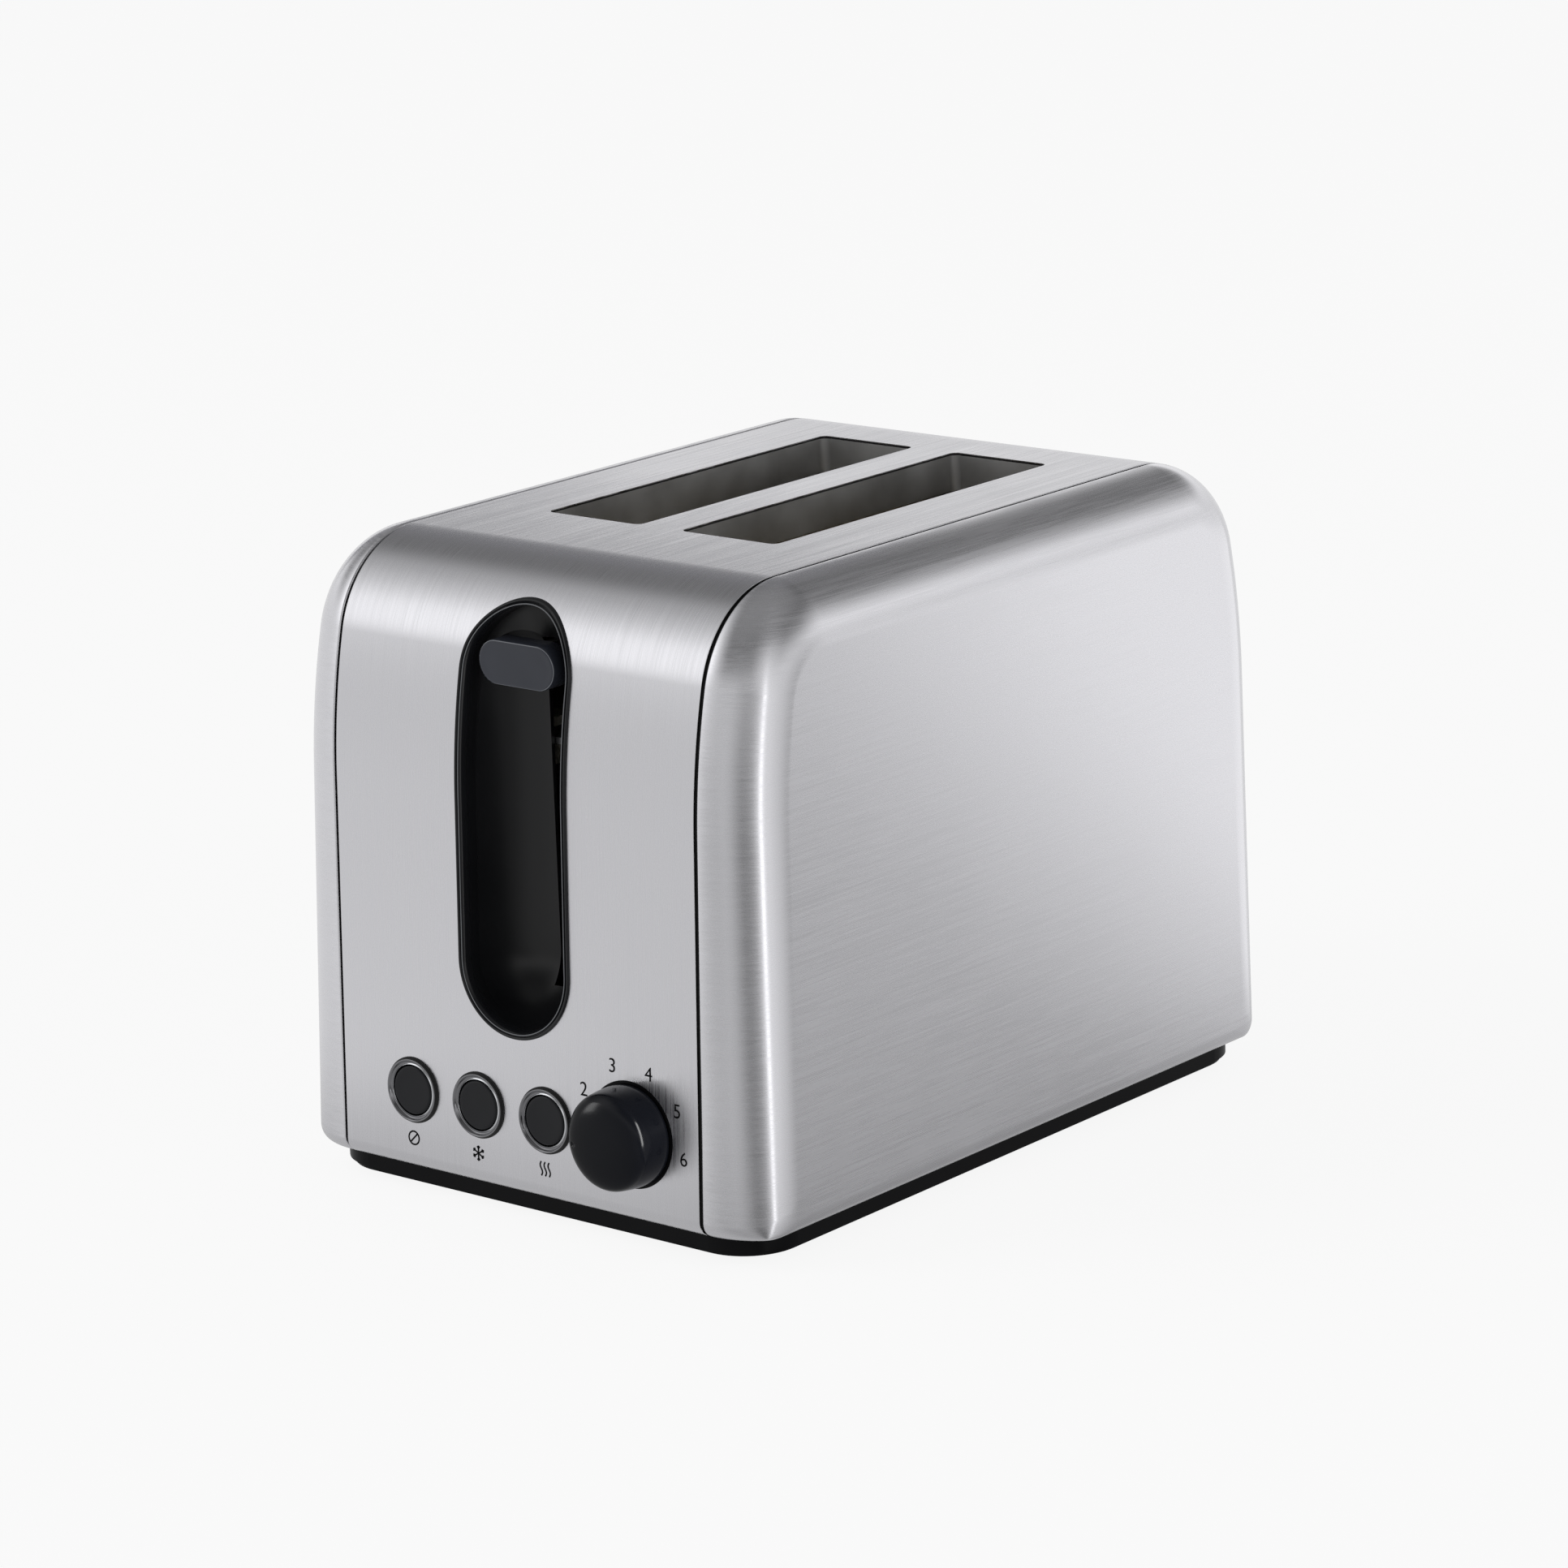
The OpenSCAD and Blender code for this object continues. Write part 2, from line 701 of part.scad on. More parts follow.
module slot_frame() color(inner_steel) placed() difference() {
  union() {
    block([-58, front_plate_y, plate_top], [58, rear_plate_y + plate_t, plate_top + 1]);
    slot_holes(plate_top - 10, plate_top + eps, 0.8);
  }
  slot_holes(plate_top - 20, body_height + 5);
}

// ---- Heaters ----

module outer_card() difference() {
  block([card_x, front_plate_y + plate_t, card_low], [card_x + card_t, rear_plate_y, card_high]);
  for (i = [0 : 4]) along_x(90 + i * 24, card_low + 3, 2, card_x - 1, card_x + 2);
}

// A flat ribbon folded to and fro, one run above another, in the plane at x0
module ribbon(x0) {
  runs = 13;
  y0 = front_plate_y + 8;
  y1 = rear_plate_y - 8;
  step = (card_high - card_low - 16) / (runs - 1);
  for (i = [0 : runs - 1])
    block([x0, y0, card_low + 8 + i * step], [x0 + wire_t, y1, card_low + 9.4 + i * step]);
  for (i = [0 : runs - 2]) {
    y = i % 2 == 0 ? y1 - 1.4 : y0;
    block([x0, y, card_low + 8 + i * step], [x0 + wire_t, y + 1.4, card_low + 9.4 + (i + 1) * step]);
  }
}

module right_heater_card() color(mica) placed() outer_card();

module left_heater_card() color(mica) placed() mirror([1, 0, 0]) outer_card();

module center_heater_card() color(mica) placed()
  block([-card_t / 2, front_plate_y + plate_t, card_low], [card_t / 2, rear_plate_y, card_high]);

module right_heater_wire() color([0.5, 0.45, 0.4]) placed() ribbon(card_x - wire_t);

module left_heater_wire() color([0.5, 0.45, 0.4]) placed()
  mirror([1, 0, 0]) ribbon(card_x - wire_t);

module center_heater_wires() color([0.5, 0.45, 0.4]) placed()
  mirrored_x() ribbon(card_t / 2);

// ---- Bread guards ----

module guard(x) {
  y0 = front_plate_y - 3;
  y1 = rear_plate_y + 4;
  for (z = [guard_low, guard_high]) along_y(x, z, guard_r, y0, y1, 20);
  for (i = [0 : 6]) upright(x, 74 + i * 21, guard_r - 0.05, guard_low, guard_high, 20);
}

module left_outer_guard() color(chrome) placed() guard(-guard_out_x);

module left_inner_guard() color(chrome) placed() guard(-guard_in_x);

module right_inner_guard() color(chrome) placed() guard(guard_in_x);

module right_outer_guard() color(chrome) placed() guard(guard_out_x);

// ---- Rear and wiring ----

module terminal_block() color([0.9, 0.88, 0.8]) placed() difference() {
  block([-50, rear_plate_y + plate_t, 19.5], [-28, rear_plate_y + 12, 30.5]);
  for (i = [0 : 2]) upright(-46 + i * 7, rear_plate_y + 6.5, 1.8, 27, 40, 24);
}

module cord_gland() color(black) placed() difference() {
  union() {
    along_y(gland_x, gland_z, 6.5, body_length - 12, body_length + 1, 64);
    along_y(gland_x, gland_z, 8.5, body_length, body_length + 2, 64);
    along_y(gland_x, gland_z, 8, body_length - band_sheet - 2.5, body_length - band_sheet, 64);
    translate([gland_x, body_length + 1.9, gland_z]) rotate([-90, 0, 0])
      cylinder(r1 = 6, r2 = 5, h = tail_out - 1.9, $fn = 64);
  }
  along_y(gland_x, gland_z, 3.6, body_length - 20, body_length + 20, 64);
}

module internal_leads() color([0.7, 0.12, 0.1]) placed() for (z = lead_at) {
  y1 = rear_plate_y + 7;
  along_y(lead_x, z, lead_r, board_y + board_t, y1, 16);
  translate([lead_x, y1, z]) sphere(lead_r, $fn = 16);
  along_x(y1, z, lead_r, lead_x, -50, 16);
}

// A screw from below, its head in the base's counterbore
module base_screw(at, top) {
  upright(at[0], at[1], screw_r, foot_height + 3, top, 24);
  difference() {
    upright(at[0], at[1], 3, foot_height + 1, foot_height + 3.2, 32);
    block([at[0] - 2.2, at[1] - 0.4, 0], [at[0] + 2.2, at[1] + 0.4, foot_height + 1.8]);
    block([at[0] - 0.4, at[1] - 2.2, 0], [at[0] + 0.4, at[1] + 2.2, foot_height + 1.8]);
  }
}

module chassis_screws() color(inner_steel) placed()
  mirrored_x() for (at = chassis_screw_at) base_screw(at, foot_z + 4);

module cover_screws() color(inner_steel) placed()
  mirrored_x() for (at = cover_screw_at) base_screw(at, foot_z + 4);

// ---- Crumb tray ----

module crumb_tray() color(inner_steel) placed() difference() {
  block([-tray_half, tray_front, tray_low], [tray_half, body_length - 0.4, tray_wall_top]);
  block([-tray_half + 0.6, tray_front + 0.6, tray_low + 0.6],
        [tray_half - 0.6, body_length + 5, tray_wall_top + 1]);
}

module tray_rails() color(inner_steel) placed() mirrored_x()
  block([tray_half + 0.9, 66, foot_z], [tray_half + 2.5, 208, 15]);

module tray_handle() color(black) placed() {
  block([-cutout_half + 0.5, body_length - 0.4, foot_z + 0.4],
        [cutout_half - 0.5, body_length + 1.6, cutout_top - 0.4]);
  block([-tray_half + 1.2, body_length - 8, tray_low + 0.6],
        [tray_half - 1.2, body_length - 0.3, tray_low + 2.4]);
  block([-30, body_length + 1.5, foot_z + 0.6], [30, body_length + tail_out - 0.2, foot_z + 2.6]);
  block([-30, body_length + tail_out - 1.8, foot_z + 0.6],
        [30, body_length + tail_out - 0.2, foot_z + 4.6]);
}

center_band();
rear_panel();
left_cover();
right_cover();
base();
rubber_feet();
lever_bezel();
lever_recess();
cancel_ring();
defrost_ring();
reheat_ring();
dial_collar();
front_plate();
rear_plate();
left_reflector();
right_reflector();
slot_frame();
left_heater_card();
center_heater_card();
right_heater_card();
left_heater_wire();
center_heater_wires();
right_heater_wire();
control_bracket();
control_board();
button_switches();
dial_potentiometer();
magnet_core();
magnet_coil();
power_contacts();
guide_rod();
rod_bracket();
carriage_bumper();
return_spring();
terminal_block();
cord_gland();
internal_leads();
cover_screws();
chassis_screws();
board_screws();
carriage_slider();
carriage_bracket();
left_bread_rack();
right_bread_rack();
lever_arm();
lever_paddle();
latch_plate();
contact_pusher();
left_outer_guard();
left_inner_guard();
right_inner_guard();
right_outer_guard();
cancel_button();
defrost_button();
reheat_button();
dial_knob();
dial_shaft();
crumb_tray();
tray_handle();
tray_rails();
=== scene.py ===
import bpy
import bmesh
import json
import math
from mathutils import Matrix, Vector


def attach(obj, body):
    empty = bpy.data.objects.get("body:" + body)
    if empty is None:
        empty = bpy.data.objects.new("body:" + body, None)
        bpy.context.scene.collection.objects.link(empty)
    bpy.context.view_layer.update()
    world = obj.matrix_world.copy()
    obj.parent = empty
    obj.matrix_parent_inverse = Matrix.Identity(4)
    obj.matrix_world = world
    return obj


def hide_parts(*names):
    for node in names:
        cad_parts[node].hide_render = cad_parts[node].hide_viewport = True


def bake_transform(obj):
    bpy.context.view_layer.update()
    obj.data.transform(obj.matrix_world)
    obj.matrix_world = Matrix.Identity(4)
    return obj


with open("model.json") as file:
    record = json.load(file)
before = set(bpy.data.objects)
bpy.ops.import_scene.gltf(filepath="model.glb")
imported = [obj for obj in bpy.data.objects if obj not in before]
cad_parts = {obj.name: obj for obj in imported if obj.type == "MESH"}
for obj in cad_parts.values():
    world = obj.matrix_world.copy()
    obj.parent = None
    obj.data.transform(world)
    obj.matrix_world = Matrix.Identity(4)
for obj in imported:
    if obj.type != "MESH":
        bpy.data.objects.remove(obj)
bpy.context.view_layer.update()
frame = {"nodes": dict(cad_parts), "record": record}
scene = bpy.context.scene

# ---------------------------------------------------------------- sizes, in millimetres
# Helper coordinates are (x, d, z): d counts backwards from the foot of the front panel.
LENGTH = 250.0
HEIGHT = 191.0
FOOT_Z = 8.6
# The cord hole's mount lies 3 mm inside the rear of the body.
CORD_HOLE = next(m for m in frame["record"]["mounts"] if m["name"] == "cord_hole")["pos_m"]
FRONT_Y = 1000 * CORD_HOLE[1] - (LENGTH - 3.0)

# Side outline: a leaning straight, a gentle bend, and the turn into the top
LEAN = math.radians(2.0)
STRAIGHT = 115.0
MID_R = 215.0
MID_TURN = math.radians(11.3)
ROLL = 5.0

# Band and covers
HALF_PANEL = 68.0
SEAM = 0.7
COVER_X = HALF_PANEL + SEAM
COVER_BULGE = 22.0 - SEAM
COVER_TAPER = 0.0205
COVER_SHEET = 1.0
EDGE_ROUND = 18.0
FOOT_FLANGE = 15.0

# Lever window
WINDOW_R = 18.75
WINDOW_LOW = 57.6
WINDOW_HIGH = 178.9
RIM = 2.4
PADDLE_Z = 163.4

# Buttons and dial, placed by x and z
BUTTONS = [-40.6 + 25.7 * i for i in range(3)]
BUTTON_Z = 33.1
BUTTON_HOLE = 9.0
ICONS = [-41.0, -15.6, 10.2]
ICON_Z = 18.5
DIAL = (42.8, 34.7)
NUMBER_R = 20.0
NUMBER_ANGLES = (190, 149.6, 108.5, 69, 29, -11.3)
KNOB_R = 14.6
KNOB_OUT = 13.3

# Bread slots
SLOT_IN = 7.7
SLOT_OUT = SLOT_IN + 35.7
SLOT_FRONT = 72.7
SLOT_REAR = SLOT_FRONT + 128.4
SLOT_CORNER = 2.5

# Rear
REAR_SEAM = 118.0
SEAM_GAP = 0.3
GLAND = (1000 * CORD_HOLE[0], 1000 * CORD_HOLE[2])
GLAND_R = 6.6
TRAY_HALF = 53.0
TRAY_TOP = 22.5


def to_row(p):
    """A point in helper millimetres, in the row frame in metres."""
    return Vector((p[0] / 1000, (p[1] + FRONT_Y) / 1000, p[2] / 1000))


# ---------------------------------------------------------------- the side outline


def arc(cy, cz, r, a0, a1, n):
    out = []
    for i in range(n + 1):
        a = a0 + (a1 - a0) * i / n
        out.append((cy + r * math.cos(a), cz + r * math.sin(a), math.cos(a), math.sin(a)))
    return out


def half_outline(lean, e, eb, roll, fine):
    """Foot to top: (d, z, and the outward normal), e inside the surface, eb above the foot."""
    zc = FOOT_Z + eb + roll
    yc = (e + roll + (zc - FOOT_Z) * math.sin(lean)) / math.cos(lean)
    t1 = (STRAIGHT * math.sin(lean), FOOT_Z + STRAIGHT * math.cos(lean))
    c1 = (t1[0] + MID_R * math.cos(lean), t1[1] - MID_R * math.sin(lean))
    a1 = math.pi - lean
    a2 = a1 - MID_TURN
    t2 = (c1[0] + MID_R * math.cos(a2), c1[1] + MID_R * math.sin(a2))
    r2 = (HEIGHT - t2[1]) / (1 - math.sin(a2))
    c2 = (t2[0] - r2 * math.cos(a2), t2[1] - r2 * math.sin(a2))
    foot = arc(yc, zc, roll, math.radians(270), a1, 3 * fine)
    mid = arc(c1[0], c1[1], MID_R - e, a1, a2, 3 * fine)
    bend = arc(c2[0], c2[1], r2 - e, a2, math.radians(90), 10 * fine)
    low, high = foot[-1], mid[0]
    steps = 2 * fine
    flat = [
        tuple(low[k] + (high[k] - low[k]) * i / steps for k in range(2)) + high[2:]
        for i in range(1, steps)
    ]
    return foot + flat + mid + bend[1:]


def outline(e=0.0, eb=0.0, roll=ROLL, fine=4):
    front = half_outline(LEAN, e, eb, roll, fine)
    rear = half_outline(0.0, e, eb, roll, fine)
    return front + [(LENGTH - d, z, -ny, nz) for d, z, ny, nz in reversed(rear)]


SURFACE = outline(fine=12)
FRONT_SURFACE = half_outline(LEAN, 0, 0, ROLL, 12)[36:]


def panel_at(z, e=0.0):
    """The front panel's d at height z, e inside its surface."""
    pts = [(d - e * ny, h - e * nz) for d, h, ny, nz in FRONT_SURFACE]
    for p, q in zip(pts, pts[1:]):
        if p[1] <= z <= q[1]:
            t = (z - p[1]) / max(q[1] - p[1], 1e-9)
            return p[0] + (q[0] - p[0]) * t
    return pts[0][0] if z < pts[0][1] else pts[-1][0]


def panel_point(x, z, out=0.0):
    """A point on the straight part of the panel, out millimetres in front of it."""
    d0 = (z - FOOT_Z) * math.tan(LEAN)
    return (x, d0 - out * math.cos(LEAN), z + out * math.sin(LEAN))


def along_panel(base, across, up):
    """A point moved across and up the leaning panel."""
    return (base[0] + across, base[1] + up * math.sin(LEAN), base[2] + up * math.cos(LEAN))


# ---------------------------------------------------------------- mesh helpers


def new_object(name, verts, faces, material=None, smooth=30.0):
    mesh = bpy.data.meshes.new(name)
    mesh.from_pydata([to_row(v) for v in verts], [], faces)
    obj = bpy.data.objects.new(name, mesh)
    scene.collection.objects.link(obj)
    tidy_mesh(obj, smooth)
    if material:
        mesh.materials.append(material)
    return obj


def tidy_mesh(obj, smooth=30.0):
    mesh = obj.data
    bm = bmesh.new()
    bm.from_mesh(mesh)
    bmesh.ops.remove_doubles(bm, verts=bm.verts, dist=1e-6)
    bmesh.ops.recalc_face_normals(bm, faces=bm.faces)
    bm.to_mesh(mesh)
    bm.free()
    mesh.shade_smooth()
    mesh.set_sharp_from_angle(angle=math.radians(smooth))


def apply_modifiers(obj):
    graph = bpy.context.evaluated_depsgraph_get()
    graph.update()
    done = bpy.data.meshes.new_from_object(obj.evaluated_get(graph))
    obj.modifiers.clear()
    old = obj.data
    name = old.name
    obj.data = done
    bpy.data.meshes.remove(old)
    done.name = name


def cut(obj, cutters, smooth=30.0):
    for c in cutters:
        m = obj.modifiers.new("cut", "BOOLEAN")
        m.operation = "DIFFERENCE"
        m.solver = "EXACT"
        m.object = c
    bpy.context.view_layer.update()
    apply_modifiers(obj)
    for c in cutters:
        mesh = c.data
        bpy.data.objects.remove(c)
        bpy.data.meshes.remove(mesh)
    obj.data.shade_smooth()
    obj.data.set_sharp_from_angle(angle=math.radians(smooth))


def prism(outline_points, lo, hi, axis):
    """A solid with the given outline in the plane across the y or z axis, from lo to hi along it."""

    def put(p, t):
        return (p[0], t, p[1]) if axis == "y" else (p[0], p[1], t)

    n = len(outline_points)
    verts = [put(p, lo) for p in outline_points] + [put(p, hi) for p in outline_points]
    faces = [list(range(n - 1, -1, -1)), list(range(n, 2 * n))]
    faces += [[k, (k + 1) % n, n + (k + 1) % n, n + k] for k in range(n)]
    return verts, faces


def stadium_points(r, low, high, n=32, straight=1):
    """Counter-clockwise outline of an upright stadium, as (x, z)."""
    top, bottom = high - r, low + r
    pts = [(r * math.cos(math.pi * i / n), top + r * math.sin(math.pi * i / n)) for i in range(n + 1)]
    for k in range(1, straight):
        pts.append((-r, top + (bottom - top) * k / straight))
    pts += [
        (-r * math.cos(math.pi * i / n), bottom - r * math.sin(math.pi * i / n))
        for i in range(n + 1)
    ]
    for k in range(1, straight):
        pts.append((r, bottom + (top - bottom) * k / straight))
    return pts


def rounded_rect(x0, x1, y0, y1, r, n=8):
    pts = []
    left, right, low, high = x0 + r, x1 - r, y0 + r, y1 - r
    for cx, cy, a0 in ((right, high, 0), (left, high, 90), (left, low, 180), (right, low, 270)):
        for i in range(n + 1):
            a = math.radians(a0 + 90 * i / n)
            pts.append((cx + r * math.cos(a), cy + r * math.sin(a)))
    return pts


def disc_points(r, n=64):
    return [(r * math.cos(2 * math.pi * i / n), r * math.sin(2 * math.pi * i / n)) for i in range(n)]


def lathe(name, profile, x, z, material, n=96, closed=False, smooth=30.0):
    """Turns a profile of (radius, distance out of the panel) about the panel's normal at x, z."""
    verts, faces = [], []
    for r, u in profile:
        base = panel_point(x, z, u)
        verts += [along_panel(base, *p) for p in disc_points(r, n)]
    rows = len(profile)
    last = rows if closed else rows - 1
    for j in range(last):
        a, b = j * n, ((j + 1) % rows) * n
        for i in range(n):
            k = (i + 1) % n
            faces.append([a + i, a + k, b + k, b + i])
    if not closed:
        if profile[0][0] > 1e-6:
            faces.append(list(range(n)))
        if profile[-1][0] > 1e-6:
            faces.append(list(range((rows - 1) * n, rows * n)))
    return new_object(name, verts, faces, material, smooth)


def sweep(name, sections, material, closed_path=True, closed_section=True, smooth=30.0):
    """Joins equal rings of points into a skin."""
    n = len(sections[0])
    verts = [p for s in sections for p in s]
    faces = []
    rows = len(sections)
    for j in range(rows if closed_path else rows - 1):
        a, b = j * n, ((j + 1) % rows) * n
        for i in range(n if closed_section else n - 1):
            k = (i + 1) % n
            faces.append([a + i, a + k, b + k, b + i])
    if not closed_path and closed_section:
        faces.append(list(range(n)))
        faces.append(list(range((rows - 1) * n, rows * n)))
    return new_object(name, verts, faces, material, smooth)


def stand_in(obj, body, slot, *nodes):
    """Adds a finished piece to the model in place of its CAD nodes."""
    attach(obj, body)
    if nodes:
        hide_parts(*nodes)
    return obj


# ---------------------------------------------------------------- materials


class Nodes:
    """A short way to write a node material."""

    def __init__(self, name):
        self.material = bpy.data.materials.new(name)
        self.material.use_nodes = True
        self.tree = self.material.node_tree
        self.shader = self.tree.nodes["Principled BSDF"]
        self.coords = self.tree.nodes.new("ShaderNodeTexCoord").outputs["Object"]

    def link(self, a, b):
        self.tree.links.new(a, b)

    def scaled(self, scale):
        node = self.tree.nodes.new("ShaderNodeMapping")
        node.inputs["Scale"].default_value = scale
        self.link(self.coords, node.inputs["Vector"])
        return node.outputs["Vector"]

    def noise(self, scale, detail=3.0, stretch=(1, 1, 1)):
        node = self.tree.nodes.new("ShaderNodeTexNoise")
        node.inputs["Scale"].default_value = scale
        node.inputs["Detail"].default_value = detail
        node.inputs["Roughness"].default_value = 0.5
        self.link(self.scaled(stretch), node.inputs["Vector"])
        return node.outputs["Fac"]

    def spread(self, value, lo, hi, start=0.25, end=0.75):
        node = self.tree.nodes.new("ShaderNodeMapRange")
        node.inputs["From Min"].default_value = start
        node.inputs["From Max"].default_value = end
        node.inputs["To Min"].default_value = lo
        node.inputs["To Max"].default_value = hi
        self.link(value, node.inputs["Value"])
        return node.outputs["Result"]

    def ramp(self, value, stops):
        node = self.tree.nodes.new("ShaderNodeValToRGB")
        ramp = node.color_ramp
        ramp.elements[0].position, ramp.elements[0].color = stops[0][0], (*stops[0][1], 1)
        ramp.elements[1].position, ramp.elements[1].color = stops[-1][0], (*stops[-1][1], 1)
        for pos, color in stops[1:-1]:
            ramp.elements.new(pos).color = (*color, 1)
        self.link(value, node.inputs["Fac"])
        return node.outputs["Color"]

    def math(self, operation, a, b=None):
        node = self.tree.nodes.new("ShaderNodeMath")
        node.operation = operation
        for socket, v in zip(node.inputs, (a, b)):
            if isinstance(v, (int, float)):
                socket.default_value = v
            elif v is not None:
                self.link(v, socket)
        return node.outputs[0]

    def mottled(self, value, color, contrast):
        """A colour that varies by a share of itself either way, as value does."""
        return self.ramp(value, [(0.3, shade(color, 1 - contrast)), (0.7, shade(color, 1 + contrast))])

    def bump(self, height, strength, distance):
        node = self.tree.nodes.new("ShaderNodeBump")
        node.inputs["Strength"].default_value = strength
        node.inputs["Distance"].default_value = distance
        self.link(height, node.inputs["Height"])
        return node.outputs["Normal"]

    def set(self, **values):
        for name, v in values.items():
            socket = self.shader.inputs[name.replace("_", " ")]
            if isinstance(v, (int, float)):
                socket.default_value = v
            elif isinstance(v, tuple):
                socket.default_value = (*v, 1)
            else:
                self.link(v, socket)
        return self


def shade(color, k):
    return tuple(min(1, c * k) for c in color)


def brushed(name, color, stretch, rough, aniso, across, bump=0.25, contrast=0.05):
    """Brushed sheet. stretch holds the streaks' frequency along each axis; reflections blur along
    the direction across, which lies square to the brushing."""
    m = Nodes(name)
    fine = m.noise(1.0, 2.0, stretch)
    coarse = m.noise(1.0, 3.0, tuple(s * 0.22 for s in stretch))
    cloud = m.noise(14.0, 2.0)
    streak = m.math("ADD", m.math("MULTIPLY", fine, 0.6), m.math("MULTIPLY", coarse, 0.4))
    tone = m.math("ADD", streak, m.math("MULTIPLY", m.math("SUBTRACT", cloud, 0.5), 0.25))
    dark, pale = shade(color, 1 - contrast), shade(color, 1 + contrast)
    m.set(
        Base_Color=m.ramp(tone, [(0.3, dark), (0.5, color), (0.7, pale)]),
        Metallic=1.0,
        Roughness=m.spread(tone, rough - 0.05, rough + 0.06, 0.35, 0.65),
        Anisotropic=aniso,
        Normal=m.bump(streak, bump, 0.00003),
    )
    direction = m.tree.nodes.new("ShaderNodeCombineXYZ")
    for socket, v in zip(direction.inputs, across):
        socket.default_value = v
    m.link(direction.outputs[0], m.shader.inputs["Tangent"])
    return m.material


def metal(name, color, rough, bump=0.1, contrast=0.06):
    m = Nodes(name)
    grain = m.noise(840.0)
    cloud = m.noise(60.0)
    m.set(
        Base_Color=m.mottled(cloud, color, contrast),
        Metallic=1.0,
        Roughness=m.spread(cloud, rough - 0.04, rough + 0.06),
        Normal=m.bump(grain, bump, 0.00002),
    )
    return m.material


def plastic(name, color, rough, grain=1400.0, bump=0.12, contrast=0.12, level=0.5):
    m = Nodes(name)
    fine = m.noise(grain)
    cloud = m.noise(45.0, 4.0)
    m.set(
        Base_Color=m.mottled(cloud, color, contrast),
        Roughness=m.spread(cloud, rough - 0.03, rough + 0.04),
        Normal=m.bump(fine, bump, 0.00003),
        Specular_IOR_Level=level,
    )
    return m.material


STEEL = (0.70, 0.697, 0.726)
band_steel = brushed("band_steel", STEEL, (5200, 45, 45), 0.27, 0.85, (1, 0, 0), bump=0.12)
cover_steel = brushed("cover_steel", STEEL, (300, 60, 4600), 0.27, 0.85, (0, 0, 1), bump=0.12)
# partly a polished cut edge, partly a painted highlight: lighter than the band's steel, so the band's side
# edges show as a bright line
edge_highlight_steel = metal("edge_highlight_steel", (0.85, 0.85, 0.86), 0.12)
base_black = plastic("base_black", (0.0035, 0.0035, 0.004), 0.32, level=0.08)
recess_black = plastic("recess_black", (0.0075, 0.0078, 0.009), 0.32, bump=0.03, level=0.38)
bezel_black = plastic("bezel_black", (0.009, 0.0095, 0.011), 0.16, bump=0.02, level=0.26)
# painted highlight: a lighter grey for two rows of the bezel, where thin highlight lines fall on it
bezel_painted_highlight = plastic("bezel_painted_highlight", (0.12, 0.125, 0.135), 0.22, bump=0.02)
knob_black = plastic("knob_black", (0.0025, 0.0028, 0.004), 0.16, bump=0.02, level=0.11)
button_black = plastic("button_black", (0.0085, 0.009, 0.011), 0.3, bump=0.05, level=0.2)
paddle_grey = plastic("paddle_grey", (0.026, 0.029, 0.039), 0.25, bump=0.04, level=0.35)
# painted highlight: a lighter grey for two rings of the paddle's rounded edge, where its bright edge lines
# fall
paddle_painted_highlight = plastic("paddle_painted_highlight", (0.16, 0.17, 0.19), 0.2, bump=0.02)
ink_black = plastic("ink_black", (0.004, 0.004, 0.0045), 0.6, contrast=0.3, level=0.06)
rubber = plastic("rubber_black", (0.025, 0.025, 0.025), 0.75, grain=900, bump=0.3)
chrome = metal("bright_chrome", (0.82, 0.83, 0.85), 0.09, bump=0.02)
ring_chrome = metal("ring_chrome", (0.62, 0.63, 0.65), 0.07, bump=0.02)
# painted reflection: a darker copy of the ring chrome for the ring's middle band, standing in for the dark
# reflections it shows
ring_painted_reflection = metal("ring_chrome_painted_dark_reflection", (0.2, 0.2, 0.21), 0.08, bump=0.02)
# painted shadow: near-black for the gaps beside the band and round the button rings, where shade falls
gap_shadow_black = plastic("gap_shadow_black", (0.004, 0.004, 0.004), 0.7)
zinc = metal("zinc_plate", (0.52, 0.52, 0.52), 0.38, contrast=0.1)
bright_sheet = metal("bright_sheet", (0.72, 0.72, 0.73), 0.24)
wire_steel = metal("wire_steel", (0.6, 0.59, 0.57), 0.28)
dark_spring = metal("dark_spring_steel", (0.16, 0.16, 0.17), 0.4)
cream = plastic("cream_moulding", (0.62, 0.59, 0.5), 0.5)
board_green = plastic("board_green", (0.02, 0.16, 0.05), 0.4, contrast=0.25)
iron = metal("plain_iron", (0.3, 0.3, 0.31), 0.45, contrast=0.15)
copper = metal("enamelled_copper", (0.62, 0.26, 0.1), 0.3, contrast=0.15)
brass = metal("spring_brass", (0.72, 0.53, 0.24), 0.3)
lead_red = plastic("lead_red", (0.4, 0.03, 0.025), 0.5)


def mica_material():
    m = Nodes("mica_sheet")
    flakes = m.tree.nodes.new("ShaderNodeTexVoronoi")
    flakes.inputs["Scale"].default_value = 260.0
    m.link(m.coords, flakes.inputs["Vector"])
    edges = m.math("MULTIPLY", flakes.outputs["Distance"], 0.6)
    tone = m.math("ADD", edges, m.math("MULTIPLY", m.noise(90.0), 0.5))
    amber = [(0.2, (0.46, 0.38, 0.25)), (0.5, (0.56, 0.48, 0.34)), (0.8, (0.66, 0.59, 0.45))]
    m.set(
        Base_Color=m.ramp(tone, amber),
        Roughness=m.spread(tone, 0.35, 0.55),
        Normal=m.bump(tone, 0.2, 0.00005),
    )
    return m.material


def ribbon_material():
    m = Nodes("heating_ribbon")
    tint = m.noise(60.0, 2.0)
    m.set(
        Base_Color=m.ramp(tint, [(0.3, (0.25, 0.22, 0.2)), (0.7, (0.42, 0.37, 0.33))]),
        Metallic=1.0,
        Roughness=m.spread(tint, 0.4, 0.55),
        Normal=m.bump(m.noise(900.0), 0.1, 0.00002),
    )
    return m.material


mica = mica_material()
ribbon = ribbon_material()

